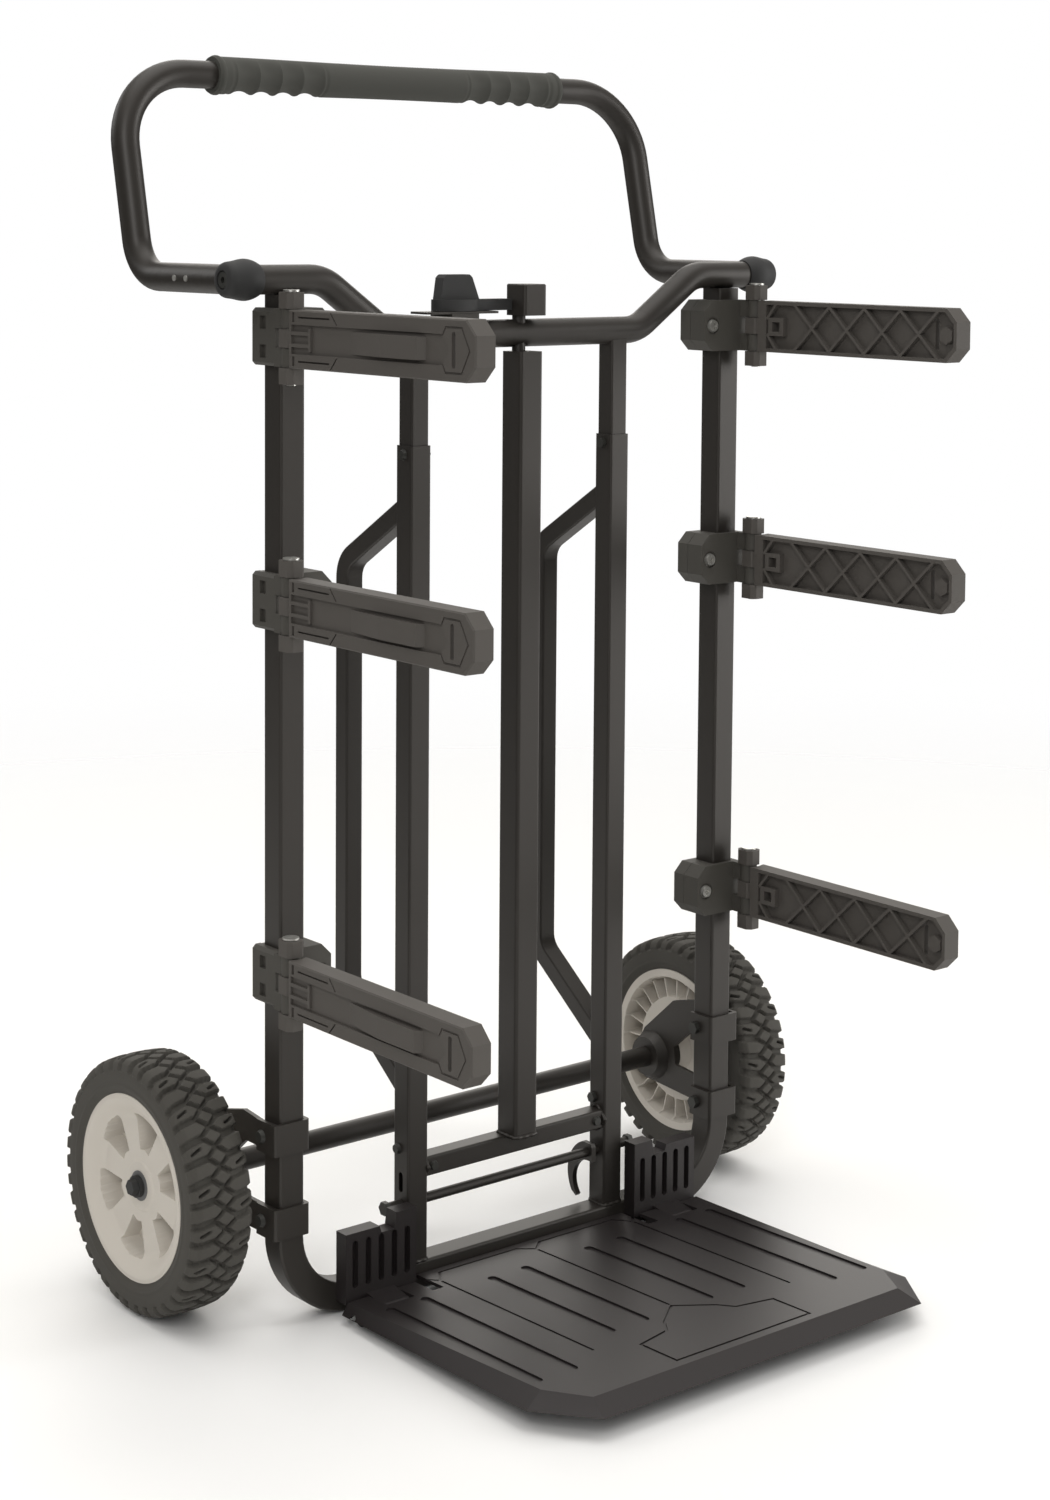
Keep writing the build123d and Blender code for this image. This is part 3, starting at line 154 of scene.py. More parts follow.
class Sheet:
    """A node tree under construction, with the place that its textures read."""

    def __init__(self, tree, coordinates):
        self.tree = tree
        self.place = self.add("ShaderNodeTexCoord", {}, {}, coordinates)

    def add(self, kind, settings, sockets, output=0):
        """A node of a kind, its settings set first, then the values or links of its sockets."""
        node = self.tree.nodes.new(kind)
        for name, value in settings.items():
            setattr(node, name, value)
        for name, value in sockets.items():
            self.feed(node.inputs[name], value)
        return Field(self, node.outputs[output])

    def feed(self, socket, value):
        if isinstance(value, Field):
            self.tree.links.new(value.socket, socket)
        else:
            socket.default_value = value

    def mix(self, factor, low, high):
        """A colour between two."""
        colours = {0: factor, 6: tuple(low) + (1,), 7: tuple(high) + (1,)}
        if isinstance(low, Field):
            colours[6] = low
        return self.add("ShaderNodeMix", {"data_type": "RGBA"}, colours, 2)

    def towards(self, way):
        """How nearly the place lies in a direction."""
        vectors = {0: self.place, 1: way}
        return self.add("ShaderNodeVectorMath", {"operation": "DOT_PRODUCT"}, vectors, "Value")


class Finish(Sheet):
    """A material under construction."""

    def __init__(self, name):
        self.material = bpy.data.materials.new(name)
        self.material.use_nodes = True
        super().__init__(self.material.node_tree, "Object")
        self.shader = self.tree.nodes["Principled BSDF"]

    def noise(self, scale, detail=2.0, place=None):
        return self.add(
            "ShaderNodeTexNoise", {}, {"Vector": place or self.place, "Scale": scale, "Detail": detail}
        )

    def cells(self, scale):
        return self.add("ShaderNodeTexVoronoi", {}, {"Vector": self.place, "Scale": scale}, "Distance")

    def stretched(self, x, y, z):
        return self.add("ShaderNodeMapping", {}, {"Vector": self.place, "Scale": (x, y, z)})

    def rounded(self, radius):
        """The normal with edges softened, and how near an edge a point is."""
        soft = self.add("ShaderNodeBevel", {"samples": 4}, {"Radius": radius}, "Normal")
        sharp = self.add("ShaderNodeNewGeometry", {}, {}, "Normal")
        agree = self.add("ShaderNodeVectorMath", {"operation": "DOT_PRODUCT"}, {0: soft, 1: sharp}, "Value")
        return soft, (1 - agree).between(0.01, 0.12)

    def bump(self, height, distance, normal=None, strength=1.0):
        sockets = {"Height": height, "Distance": distance, "Strength": strength}
        if normal:
            sockets["Normal"] = normal
        return self.add("ShaderNodeBump", {}, sockets)

    def surface(self, **sockets):
        """Feed the shader and give the finished material."""
        for name, value in sockets.items():
            self.feed(self.shader.inputs[name.replace("_", " ")], value)
        return self.material


def shade(colour_value, factor):
    return tuple(min(1.0, channel * factor) for channel in colour_value)


def powder_coat(name, tint, gloss=0.2, edge=0.0012):
    """Semi-gloss powder coat: fine orange peel, faint handling marks, edges worn a little and lightened as
    a painted highlight.
    """
    finish = Finish(name)
    peel = finish.noise(900, 2)
    cloud = finish.noise(9, 3)
    smudge = finish.noise(60, 4)
    soft, near_edge = finish.rounded(edge)
    # edges lightened toward a paler tint in noise patches: partly worn paint, partly a painted highlight
    worn_edge_highlight = near_edge * finish.noise(260, 3).between(0.42, 0.68)
    base = finish.mix(cloud, shade(tint, 0.16), shade(tint, 0.28))
    finish.feed(finish.shader.inputs["Specular IOR Level"], 0.26)
    return finish.surface(
        Base_Color=finish.mix(worn_edge_highlight * 0.3, base, shade(tint, 1.6)),
        Roughness=gloss - 0.06 + 0.12 * smudge + 0.1 * worn_edge_highlight,
        Normal=finish.bump(peel, 0.00006, soft, 0.35),
    )


def gloss_paint(name, tint):
    """Wet-looking black paint over pressed steel, with dust in the low places."""
    finish = Finish(name)
    soft, near_edge = finish.rounded(0.0026)
    ripple = finish.noise(70, 2)
    dust = finish.noise(34, 5).between(0.45, 0.75)
    peel = finish.noise(1100, 1)
    base = finish.mix(dust * 0.5, shade(tint, 0.2), shade(tint, 0.5))
    coarse = finish.bump(ripple, 0.0004, soft, 0.35)
    return finish.surface(
        # edges lightened toward three times the tint: a painted highlight
        Base_Color=finish.mix(near_edge * 0.3, base, shade(tint, 3)),
        Roughness=0.17 + 0.12 * dust + 0.03 * peel,
        Normal=finish.bump(peel, 0.00008, coarse, 0.4),
        Coat_Weight=0.6,
    )


def moulded_plastic(name, tint, grain=1500, rough=0.32, edge=0.001):
    """Moulded plastic: spark-eroded grain, faint flow marks and edges made paler as a painted highlight."""
    finish = Finish(name)
    soft, near_edge = finish.rounded(edge)
    grains = finish.cells(grain)
    flow = finish.noise(14, 3, finish.stretched(1, 3, 1))
    scuff = finish.noise(120, 5).between(0.62, 0.78)
    base = finish.mix(flow, shade(tint, 0.22), shade(tint, 0.36))
    finish.feed(finish.shader.inputs["Specular IOR Level"], 0.34)
    return finish.surface(
        # paler near the edges: a painted highlight; the faint scuff patches are wear
        Base_Color=finish.mix(near_edge * 0.4 + scuff * 0.08, base, shade(tint, 1.8)),
        Roughness=rough - 0.05 + 0.1 * flow - 0.08 * near_edge,
        Normal=finish.bump(grains, 0.00008, soft, 0.35),
    )


def soft_rubber(name, tint, rough=0.72, dusty=0.3):
    """Moulded rubber: matt skin, pale bloom and fine pimples."""
    finish = Finish(name)
    soft, near_edge = finish.rounded(0.0006)
    pimples = finish.cells(1100)
    bloom = finish.noise(26, 5).between(0.4, 0.75)
    speck = finish.noise(700, 2)
    base = finish.mix(bloom * dusty, shade(tint, 0.3), shade(tint, 0.9))
    finish.feed(finish.shader.inputs["Specular IOR Level"], 0.4)
    return finish.surface(
        # edges lightened toward a paler tint: a painted highlight
        Base_Color=finish.mix(near_edge * 0.4, base, shade(tint, 1.8)),
        Roughness=rough - 0.2 + 0.14 * bloom,
        Normal=finish.bump(pimples * 0.6 + speck * 0.4, 0.00012, soft, 0.5),
    )


def pale_plastic(name, tint):
    """Light hub plastic with a faint sheen, specks and road dust."""
    finish = Finish(name)
    soft, near_edge = finish.rounded(0.0016)
    grain = finish.noise(1300, 2)
    grime = finish.noise(40, 6).between(0.5, 0.8)
    base = finish.mix(grime * 0.25, shade(tint, 0.84), shade(tint, 0.6))
    return finish.surface(
        # edges lightened a little: a painted highlight
        Base_Color=finish.mix(near_edge * 0.2, base, shade(tint, 1.15)),
        Roughness=0.42 + 0.12 * grime,
        Normal=finish.bump(grain, 0.0001, soft, 0.4),
    )


def plated_steel(name, tint):
    """Bright zinc plate: fine spangle and turned marks."""
    finish = Finish(name)
    soft, near_edge = finish.rounded(0.0004)
    spangle = finish.cells(420)
    turned = finish.noise(900, 2, finish.stretched(1, 1, 6))
    tone = finish.mix(spangle, shade(tint, 0.78), shade(tint, 1.12))
    return finish.surface(
        Base_Color=tone,
        Metallic=0.96 + 0.04 * near_edge,
        Roughness=0.22 + 0.16 * turned + 0.1 * spangle,
        Normal=finish.bump(turned, 0.00004, soft, 0.4),
    )


def white_floor(name, tint):
    """Matt white sweep that fades away from the object."""
    finish = Finish(name)
    grain = finish.noise(3, 3)
    away = finish.add("ShaderNodeVectorMath", {"operation": "LENGTH"}, {0: finish.place}, "Value")
    return finish.surface(
        Base_Color=finish.mix(grain, shade(tint, 0.985), tint),
        Roughness=0.6 + 0.1 * grain,
        Alpha=1 - away.between(0.9, 3.2),
    )


def studio_sky():
    """White backdrop; what the paint reflects is a dim room with a tall pale window to the front right."""
    world = bpy.data.worlds.new("studio")
    world.use_nodes = True
    lamp = world.node_tree.nodes["Background"]
    room = Sheet(world.node_tree, "Generated")
    window = room.towards((0.8, -0.6, 0.02))
    door = room.towards((0.57, 0.72, 0.39))
    above = room.towards((0, 0, 1))
    seen = room.add("ShaderNodeLightPath", {}, {}, "Is Camera Ray")
    level = (
        0.1
        + 2.4 * window.between(0.95, 0.995)
        + 2.4 * door.between(0.88, 0.985)
        + 0.7 * above.between(0.4, 0.85)
    )
    room.feed(lamp.inputs["Color"], room.mix(seen, (1, 0.97, 0.92), (1, 1, 1)))
    room.feed(lamp.inputs["Strength"], level * (1 - seen) + seen)
    return world


FINISHES = {
    "frame_paint": (powder_coat, {}),
    "toe_paint": (gloss_paint, {}),
    "dark_fastener": (powder_coat, {"gloss": 0.34, "edge": 0.0005}),
    "bright_zinc": (plated_steel, {}),
    "arm_plastic": (moulded_plastic, {}),
    "clamp_plastic": (moulded_plastic, {"rough": 0.3}),
    "knob_plastic": (moulded_plastic, {"rough": 0.34, "edge": 0.001}),
    "bush_plastic": (moulded_plastic, {"grain": 900}),
    "grip_rubber": (soft_rubber, {"rough": 0.66, "dusty": 0.2}),
    "tyre_rubber": (soft_rubber, {"rough": 0.7, "dusty": 0.45}),
    "hub_plastic": (pale_plastic, {}),
}


def finish_for(slot):
    """The material of a slot, made once."""
    made = bpy.data.materials.get(slot)
    if made:
        return made
    maker, options = FINISHES[slot]
    return maker(slot, tuple(getattr(bpy.context.scene.truck_colours, slot)), **options)


def dress(names):
    """Give CAD nodes the material of their slot."""
    for name in names:
        data = nodes[name].data
        data.materials.clear()
        data.materials.append(finish_for(node_slots[name]))


# ---------------------------------------------------------------- meshes
def add_piece(name, points, faces, slot, body, replaced=(), crease=35):
    """A mesh piece with its finish, riding on a body and standing for CAD nodes."""
    mesh = bpy.data.meshes.new(name)
    mesh.from_pydata([tuple(p) for p in points], [], [tuple(f) for f in faces])
    mesh.validate()
    mesh.update()
    mesh.polygons.foreach_set("use_smooth", [True] * len(mesh.polygons))
    mesh.set_sharp_from_angle(angle=radians(crease))
    piece = bpy.data.objects.new(name, mesh)
    bpy.context.scene.collection.objects.link(piece)
    mesh.materials.append(finish_for(slot))
    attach(piece, body)
    if replaced:
        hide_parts(*replaced)
    return piece


def ring_faces(rows, columns, flip=False, first=0, closed_rows=False):
    """Quads of a grid whose columns close on themselves."""
    faces = []
    for row in range(rows if closed_rows else rows - 1):
        below = (row + 1) % rows
        for column in range(columns):
            right = (column + 1) % columns
            face = (
                first + row * columns + column,
                first + row * columns + right,
                first + below * columns + right,
                first + below * columns + column,
            )
            faces.append(face[::-1] if flip else face)
    return faces


def smoothstep(low, high, value):
    t = np.clip((value - low) / (high - low), 0, 1)
    return t * t * (3 - 2 * t)


def resample(corners, step):
    """Points along a polyline, about step apart, corners kept."""
    points = [np.array(corners[0], float)]
    for start, end in zip(corners, corners[1:]):
        start, end = np.array(start, float), np.array(end, float)
        count = max(1, int(round(np.linalg.norm(end - start) / step)))
        points += [start + (end - start) * i / count for i in range(1, count + 1)]
    return np.array(points)


def segment_distance(u, v, start, end):
    """Distance of points (u, v) from a segment."""
    du, dv = end[0] - start[0], end[1] - start[1]
    t = np.clip(((u - start[0]) * du + (v - start[1]) * dv) / (du * du + dv * dv), 0, 1)
    return np.hypot(u - start[0] - t * du, v - start[1] - t * dv)


# ---------------------------------------------------------------- tyres
def tread_profile(half, inner_radius, outer_radius):
    """Section of a tyre from the outer bead over the crown to the inner bead."""
    corners = [
        (half - 0.0030, inner_radius),
        (half - 0.0022, inner_radius + 0.0030),
        (half - 0.0006, inner_radius + 0.0050),
        (half, inner_radius + 0.0150),
        (half - 0.0008, outer_radius - 0.0085),
        (half - 0.0026, outer_radius - 0.0042),
        (half - 0.0068, outer_radius - 0.0014),
        (half * 0.45, outer_radius - 0.0003),
        (0, outer_radius),
    ]
    mirrored = [(-x, r) for x, r in corners[-2::-1]]
    return corners + mirrored


# grooves of one pitch: start and end as shares of the pitch and of the half width, then width
TREAD = (
    ((0.00, 0.40), (0.25, 0.02), 0.9),
    ((0.25, 0.02), (0.50, -0.36), 0.9),
    ((0.50, -0.36), (0.75, 0.02), 0.8),
    ((0.75, 0.02), (1.00, 0.40), 0.8),
    ((0.00, -0.40), (0.25, 0.02), 0.8),
    ((0.25, 0.02), (0.50, 0.36), 0.8),
    ((0.50, 0.36), (0.75, 0.02), 0.9),
    ((0.75, 0.02), (1.00, -0.40), 0.9),
    ((0.00, 0.40), (0.16, 1.30), 1.5),
    ((0.50, 0.36), (0.62, 1.30), 1.3),
    ((0.00, -0.40), (-0.16, -1.30), 1.5),
    ((0.50, -0.36), (0.38, -1.30), 1.3),
    ((0.24, 0.52), (0.34, 0.80), 0.5),
    ((0.76, -0.52), (0.66, -0.80), 0.5),
)


def tyre_points(centre, half, inner_radius, outer_radius, facing, sizes):
    """Grid of points of a tyre, the lugs standing where no groove is cut."""
    profile = resample(tread_profile(half, inner_radius, outer_radius), 0.0010)
    for _ in range(3):
        profile[1:-1] = profile[1:-1] * 0.5 + (profile[:-2] + profile[2:]) * 0.25
    along = np.gradient(profile, axis=0)
    normal = np.stack([along[:, 1], -along[:, 0]], 1)
    normal /= np.linalg.norm(normal, axis=1)[:, None]
    outward = (normal * (profile - [0, (inner_radius + outer_radius) / 2])).sum(1)
    normal *= np.sign(outward)[:, None]
    steps = sizes.tread_pitches * 40
    turn = np.arange(steps) / steps * sizes.tread_pitches
    across, local = np.meshgrid(profile[:, 0], turn, indexing="ij")
    pitch = 2 * pi * outer_radius / sizes.tread_pitches
    u = (local % 1.0) * pitch
    # distance across the tread goes on down the shoulder, so the wedges reach the sidewall
    travel = np.concatenate([[0], np.cumsum(np.hypot(*np.diff(profile, axis=0).T))])
    v = np.repeat((travel[len(travel) // 2] - travel)[:, None], steps, 1) * facing
    cut = np.zeros_like(u)
    for start, end, width in TREAD:
        reach = width * sizes.tread_groove / 2
        for shift in (-1, 0, 1):
            first = ((start[0] + shift) * pitch, start[1] * half)
            last = ((end[0] + shift) * pitch, end[1] * half)
            depth = 1 - smoothstep(reach * 0.7, reach * 1.3, segment_distance(u, v, first, last))
            cut = np.maximum(cut, depth)
    radius = np.repeat(profile[:, 1:2], steps, 1)
    edge = outer_radius - 0.0100
    fade = smoothstep(edge - 0.0018, edge + 0.0012, radius)
    step = 0.0009 * (1 - smoothstep(edge - 0.0006, edge + 0.0006, radius))
    ring = np.abs(radius - (inner_radius + 0.0075))
    bead = 0.0005 * (1 - smoothstep(0.0004, 0.0011, ring))
    wall = np.abs(across) > half * 0.8
    depth = sizes.tread_depth * cut * fade + (step - bead) * wall
    r = radius - depth * normal[:, 1:2]
    x = across - depth * normal[:, 0:1]
    angle = turn / sizes.tread_pitches * 2 * pi
    return np.stack([centre[0] + x, centre[1] + r * np.cos(angle), centre[2] + r * np.sin(angle)], -1)


class TRUCK_OT_tyres(bpy.types.Operator):
    """Chunky all-terrain tyres with angled lugs and a plain sidewall"""

    bl_idname = "truck.tyres"
    bl_label = "Tyres"

    def execute(self, context):
        for side, facing in SIDES:
            low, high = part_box(f"{side}_tyre")
            hub_low, hub_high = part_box(f"{side}_wheel_hub")
            centre = [(low[i] + high[i]) / 2 for i in range(3)]
            half = (high[0] - low[0]) / 2
            inner = (hub_high[2] - hub_low[2]) / 2
            outer = (high[2] - low[2]) / 2
            grid = tyre_points(centre, half, inner, outer, facing, context.scene.truck_sizes)
            rows, columns = grid.shape[:2]
            faces = ring_faces(rows, columns, closed_rows=True)
            add_piece(
                f"{side}_treaded_tyre", grid.reshape(-1, 3), faces, "tyre_rubber", f"{side}_wheel",
                [f"{side}_tyre"], 50,
            )
        return {"FINISHED"}


# ---------------------------------------------------------------- hubs
POCKETS = 6
POCKET_START = radians(41)
POCKET_DEPTH = 0.027
TROUGH_RIBS = 24
HUB_COLUMNS = 600
BUSH_SEAT = 0.0225


def hub_face(radius, angle, rim, pockets, start, pocket_depth):
    """How deep the outer face lies behind the rim lip, with six wedge pockets."""
    dish = 0.011 * (1 - smoothstep(rim * 0.70, rim * 0.955, radius))
    dish += 0.0005 * smoothstep(rim - 0.0035, rim - 0.001, radius)
    boss = 0.0012 * (1 - smoothstep(0.020, 0.023, radius))
    turn = (angle - start) / (2 * pi) * pockets
    across = (turn - np.round(turn)) * 2 * pi / pockets * radius
    reach = 0.007 + (radius - 0.034) * 0.38
    inside = 1 - smoothstep(-0.0007, 0.0007, np.abs(across) - reach)
    inside *= smoothstep(0.0335, 0.0350, radius + np.abs(across) * 0.25)
    inside *= 1 - smoothstep(rim * 0.785, rim * 0.80, radius + np.abs(across) * 0.08)
    return dish - boss + pocket_depth * inside


def hub_back(radius, angle, rim, ribs):
    """Depth of the inner face: a trough with radial ribs round a flat disc."""
    trough = smoothstep(0.052, 0.055, radius) * (1 - smoothstep(rim - 0.011, rim - 0.008, radius))
    turn = angle / (2 * pi) * ribs
    across = np.abs(turn - np.round(turn)) * 2 * pi / ribs * radius
    rib = 1 - smoothstep(0.0009, 0.0016, across)
    disc = 0.006 * (1 - smoothstep(rim - 0.011, rim - 0.008, radius))
    return disc + 0.022 * trough * (1 - rib)


class TRUCK_OT_hubs(bpy.types.Operator):
    """Pale six-spoke hubs with a dished rim and a ribbed trough behind"""

    bl_idname = "truck.hubs"
    bl_label = "Hubs"

    def execute(self, context):
        for side, facing in SIDES:
            low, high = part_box(f"{side}_wheel_hub")
            bore = (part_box(f"{side}_wheel_bush")[1][2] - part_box(f"{side}_wheel_bush")[0][2]) / 2
            rim = (high[2] - low[2]) / 2
            tyre_low, tyre_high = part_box(f"{side}_tyre")
            lip = (tyre_high[0] if facing > 0 else -tyre_low[0]) - 0.003
            back = (tyre_low[0] if facing > 0 else -tyre_high[0]) + 0.003
            angle = np.arange(HUB_COLUMNS) / HUB_COLUMNS * 2 * pi
            front_r = np.concatenate(
                [np.linspace(bore, rim - 0.002, 110), np.linspace(rim - 0.0015, rim, 5)]
            )
            back_r = np.concatenate([np.linspace(rim, rim - 0.0015, 4), np.linspace(rim - 0.003, bore, 60)])
            fr, fa = np.meshgrid(front_r, angle, indexing="ij")
            br, ba = np.meshgrid(back_r, angle, indexing="ij")
            front_x = lip - hub_face(fr, fa, rim, POCKETS, POCKET_START, POCKET_DEPTH)
            back_x = back + hub_back(br, ba, rim, TROUGH_RIBS)
            inner_face = low[0] if facing > 0 else -high[0]
            back_x = np.where(br < BUSH_SEAT, inner_face, back_x)
            radius = np.concatenate([fr, br])
            turn = np.concatenate([fa, ba])
            x = np.concatenate([front_x, back_x]) * facing
            y = (low[1] + high[1]) / 2 + radius * np.cos(turn)
            z = (low[2] + high[2]) / 2 + radius * np.sin(turn)
            points = np.stack([x, y, z], -1)
            rows = points.shape[0]
            faces = ring_faces(rows, HUB_COLUMNS, flip=facing < 0, closed_rows=True)
            add_piece(
                f"{side}_spoked_hub", points.reshape(-1, 3), faces, "hub_plastic", f"{side}_wheel",
                [f"{side}_wheel_hub"], 40,
            )
        dress([f"{side}_wheel_bush" for side, _ in SIDES])
        return {"FINISHED"}


# ---------------------------------------------------------------- grip
GRIP_BORE = 0.0125
FIRST_GROOVE = 0.018
UNDERSIDE = radians(235)


class TRUCK_OT_grip(bpy.types.Operator):
    """Rubber grip with four finger grooves at each end and flared collars"""

    bl_idname = "truck.grip"
    bl_label = "Grip"

    def execute(self, context):
        sizes = context.scene.truck_sizes
        low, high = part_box("handle_grip")
        half = (high[0] - low[0]) / 2
        outer = (high[2] - low[2]) / 2
        centre_y, centre_z = (low[1] + high[1]) / 2, (low[2] + high[2]) / 2
        rows, columns = 520, 72
        along = np.linspace(-half, half, rows)
        angle = np.arange(columns) / columns * 2 * pi
        x, turn = np.meshgrid(along, angle, indexing="ij")
        end = half - np.abs(x)
        body = outer - 0.0022 - 0.0006 * np.cos(x / half * pi)
        flare = 0.0010 * (1 - smoothstep(0.0045, 0.007, end))
        collar = flare - 0.0014 * (1 - smoothstep(0.0, 0.003, end))
        beyond = end - FIRST_GROOVE - 4 * sizes.finger_pitch
        zone = smoothstep(FIRST_GROOVE - 0.006, FIRST_GROOVE, end) * (1 - smoothstep(0, 0.005, beyond))
        phase = (end - FIRST_GROOVE) / sizes.finger_pitch
        scallop = np.abs(np.sin(phase * pi)) ** 0.8
        under = 0.5 + 0.5 * np.cos(turn - UNDERSIDE)
        mask = smoothstep(0.25, 0.7, under)
        rib = 0.0004 * smoothstep(0.2, 0.8, np.sin(x / 0.0016 * pi)) * smoothstep(0.86, 0.97, 1 - under)
        middle = 1 - smoothstep(half * 0.3, half * 0.34, np.abs(x))
        radius = body + collar - sizes.finger_depth * zone * scallop * mask + rib * middle
        y = centre_y + radius * np.cos(turn)
        z = centre_z + radius * np.sin(turn)
        skin = np.stack([x, y, z], -1).reshape(-1, 3)
        caps = []
        for end_x in (-half, half):
            ring_y = centre_y + GRIP_BORE * np.cos(angle)
            ring_z = centre_z + GRIP_BORE * np.sin(angle)
            caps.append(np.stack([np.full(columns, end_x), ring_y, ring_z], -1))
        points = np.concatenate([caps[0], skin, caps[1]])
        faces = [face[::-1] for face in ring_faces(rows + 2, columns)]
        add_piece("finger_grip", points, faces, "grip_rubber", "handle", ["handle_grip"], 50)
        return {"FINISHED"}


# ---------------------------------------------------------------- toe plate
class TRUCK_OT_toe_plate(bpy.types.Operator):
    """Finish of the pressed toe plate and its brackets"""

    bl_idname = "truck.toe_plate"
    bl_label = "Toe plate"

    def execute(self, context):
        dress(["toe_plate", "left_toe_bracket", "right_toe_bracket"])
        return {"FINISHED"}


# ---------------------------------------------------------------- frame, arms, fasteners
class TRUCK_OT_tubes(bpy.types.Operator):
    """Powder-coated tubes, brackets and collars of the frame and the handle"""

    bl_idname = "truck.tubes"
    bl_label = "Tubes and brackets"

    def execute(self, context):
        dress([name for name, slot in node_slots.items() if slot == "frame_paint"])
        return {"FINISHED"}


class TRUCK_OT_arms(bpy.types.Operator):
    """Moulded arms and their clamps"""

    bl_idname = "truck.arms"
    bl_label = "Arms and clamps"

    def execute(self, context):
        dress([name for name, slot in node_slots.items() if slot in ("arm_plastic", "clamp_plastic")])
        return {"FINISHED"}


class TRUCK_OT_knobs(bpy.types.Operator):
    """Pivot knobs, latch knob and axle caps"""

    bl_idname = "truck.knobs"
    bl_label = "Knobs and caps"

    def execute(self, context):
        dress([name for name, slot in node_slots.items() if slot == "knob_plastic"])
        return {"FINISHED"}


class TRUCK_OT_fasteners(bpy.types.Operator):
    """Bolts, screws, rivets and pins"""

    bl_idname = "truck.fasteners"
    bl_label = "Fasteners"

    def execute(self, context):
        dress([name for name, slot in node_slots.items() if slot in ("dark_fastener", "bright_zinc")])
        return {"FINISHED"}


def bead_loop(centre, half_x, half_y, normal, radius, wobble):
    """A weld bead round a rounded rectangular joint: points and faces."""
    corner = min(half_x, half_y) * 0.35
    path = []
    for cx, cy, start in ((1, 1, 0), (-1, 1, 90), (-1, -1, 180), (1, -1, 270)):
        for step in range(7):
            turn = radians(start + step * 15)
            x = cx * (half_x - corner) + corner * cos(turn)
            y = cy * (half_y - corner) + corner * sin(turn)
            path.append((x, y))
    path = resample(path + path[:1], 0.0012)[:-1]
    side = Vector(normal).orthogonal().normalized() if abs(normal[2]) < 0.99 else Vector((1, 0, 0))
    other = Vector(normal).cross(side)
    points = []
    sections = 8
    for index, (u, v) in enumerate(path):
        outward = Vector((u, v)).normalized()
        swell = radius * (1 + 0.16 * sin(index * wobble))
        for section in range(sections):
            turn = 2 * pi * section / sections
            flat = Vector((u, v)) + outward * swell * cos(turn)
            raised = Vector(normal) * swell * sin(turn)
            points.append(Vector(centre) + side * flat[0] + other * flat[1] + raised)
    return points, ring_faces(len(path), sections, closed_rows=True)


class TRUCK_OT_weld_beads(bpy.types.Operator):
    """Weld beads where the tubes of the frame meet"""

    bl_idname = "truck.weld_beads"
    bl_label = "Weld beads"

    def execute(self, context):
        radius = context.scene.truck_sizes.bead_radius
        points, faces = [], []
        joints = []
        for side, facing in SIDES:
            low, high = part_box(f"{side}_sleeve")
            middle = [(low[i] + high[i]) / 2 for i in range(3)]
            foot = (middle[0], middle[1], low[2])
            joints.append((foot, (high[0] - low[0]) / 2, (high[1] - low[1]) / 2, (0, 0, 1)))
            low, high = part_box("lower_cross_tube")
            end = low[0] if facing < 0 else high[0]
            centre = (end, (low[1] + high[1]) / 2, (low[2] + high[2]) / 2)
            joints.append((centre, (high[2] - low[2]) / 2, (high[1] - low[1]) / 2, (1, 0, 0)))
        low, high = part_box("centre_post")
        foot = ((low[0] + high[0]) / 2, (low[1] + high[1]) / 2, low[2] + 0.0005)
        joints.append((foot, (high[0] - low[0]) / 2, (high[1] - low[1]) / 2, (0, 0, 1)))
        for centre, half_x, half_y, normal in joints:
            loop, quads = bead_loop(centre, half_x, half_y, normal, radius, 1.1)
            faces += [tuple(index + len(points) for index in quad) for quad in quads]
            points += loop
        add_piece("weld_beads", points, faces, "frame_paint", "frame", crease=60)
        return {"FINISHED"}


# ---------------------------------------------------------------- stage
def area_light(name, place, target, width, height, power):
    light = bpy.data.lights.new(name, "AREA")
    light.shape = "RECTANGLE"
    light.size, light.size_y, light.energy = width, height, power
    lamp = bpy.data.objects.new(name, light)
    lamp.location = place
    lamp.rotation_mode = "QUATERNION"
    lamp.rotation_quaternion = (Vector(place) - Vector(target)).to_track_quat("Z", "Y")
    bpy.context.scene.collection.objects.link(lamp)


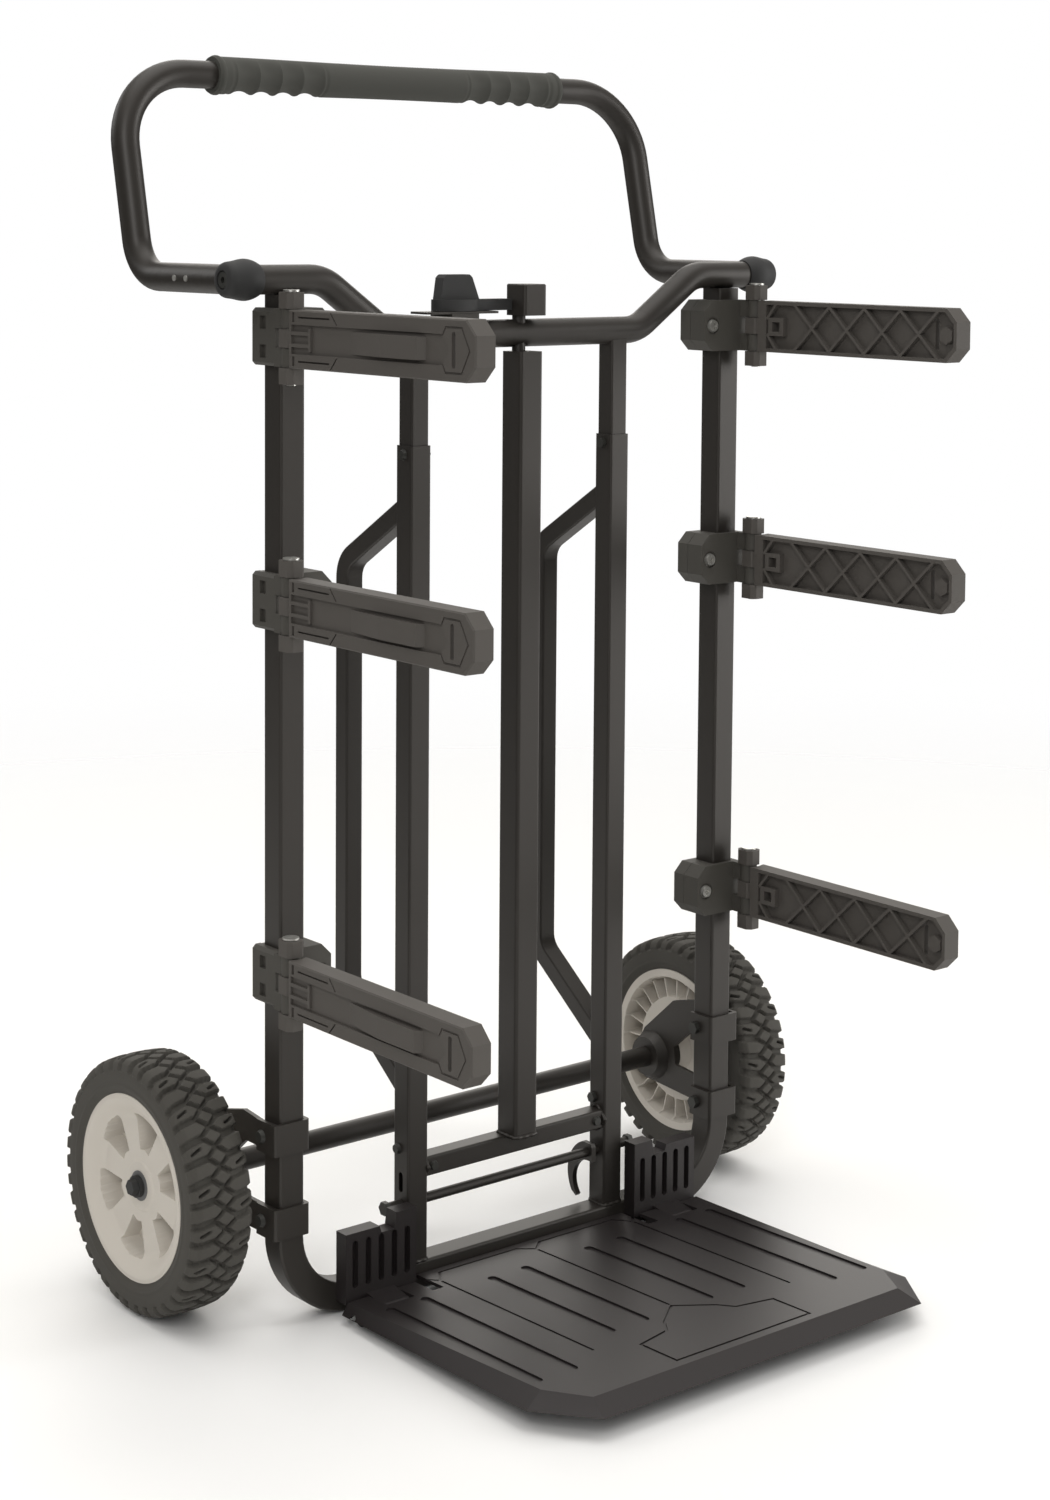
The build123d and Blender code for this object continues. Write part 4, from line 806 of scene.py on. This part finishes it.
class TRUCK_OT_stage(bpy.types.Operator):
    """Pale floor, soft studio light and the camera"""

    bl_idname = "truck.stage"
    bl_label = "Stage"

    def execute(self, context):
        scene = context.scene
        reach = 4.0
        mesh = bpy.data.meshes.new("studio_floor")
        corners = [(-reach, -reach), (reach, -reach), (reach, reach), (-reach, reach)]
        mesh.from_pydata([(x, y, cad_box[0][2] - 0.0002) for x, y in corners], [], [(0, 1, 2, 3)])
        mesh.materials.append(white_floor("studio_floor", (0.92, 0.92, 0.915)))
        floor = bpy.data.objects.new("studio_floor", mesh)
        scene.collection.objects.link(floor)
        scene.world = studio_sky()
        scene.view_settings.view_transform = "Standard"
        target = (0, 0, 0.5)
        area_light("key", (-2.4, -2.2, 2.2), target, 0.9, 2.2, 44)
        area_light("side", (2.9, -1.6, 1.0), target, 0.7, 2.4, 46)
        area_light("overhead", (0.2, 0.2, 3.6), target, 3.0, 3.0, 44)
        area_light("rim", (-1.4, 3.0, 2.2), target, 2.4, 1.2, 20)
        camera = bpy.data.cameras.new("camera")
        camera.sensor_width = 36
        camera.lens = 64.466
        camera.shift_y = -0.22
        camera.clip_end = 100
        eye = bpy.data.objects.new("camera", camera)
        heading, pitch, roll = radians(39.232), radians(4.308), radians(0.419)
        turn = (
            Matrix.Rotation(-heading, 4, "Z")
            @ Matrix.Rotation(pi / 2 - pitch, 4, "X")
            @ Matrix.Rotation(roll, 4, "Z")
        )
        eye.matrix_world = Matrix.Translation((-1.51418, -1.80224, 0.95038)) @ turn
        scene.collection.objects.link(eye)
        scene.camera = eye
        return {"FINISHED"}


# ---------------------------------------------------------------- the add-on
OPERATORS = (
    TRUCK_OT_tubes,
    TRUCK_OT_weld_beads,
    TRUCK_OT_tyres,
    TRUCK_OT_hubs,
    TRUCK_OT_grip,
    TRUCK_OT_toe_plate,
    TRUCK_OT_arms,
    TRUCK_OT_knobs,
    TRUCK_OT_fasteners,
    TRUCK_OT_stage,
)


class TRUCK_PT_panel(bpy.types.Panel):
    """Lists the pieces of the hand truck"""

    bl_idname = "TRUCK_PT_panel"
    bl_label = "Hand truck"
    bl_space_type = "VIEW_3D"
    bl_region_type = "UI"
    bl_category = "Hand truck"

    def draw(self, context):
        for settings in (context.scene.truck_sizes, context.scene.truck_colours):
            for name in settings.__annotations__:
                self.layout.prop(settings, name)
        for operator in OPERATORS:
            self.layout.operator(operator.bl_idname)


CLASSES = (TruckSizes, TruckColours, *OPERATORS, TRUCK_PT_panel)


def register():
    for cls in CLASSES:
        bpy.utils.register_class(cls)
    bpy.types.Scene.truck_sizes = PointerProperty(type=TruckSizes)
    bpy.types.Scene.truck_colours = PointerProperty(type=TruckColours)


def unregister():
    del bpy.types.Scene.truck_colours
    del bpy.types.Scene.truck_sizes
    for cls in reversed(CLASSES):
        bpy.utils.unregister_class(cls)


def main():
    """Build every piece in order."""
    register()
    for operator in OPERATORS:
        getattr(bpy.ops.truck, operator.bl_idname.split(".")[1])()


if __name__ == "__main__":
    main()
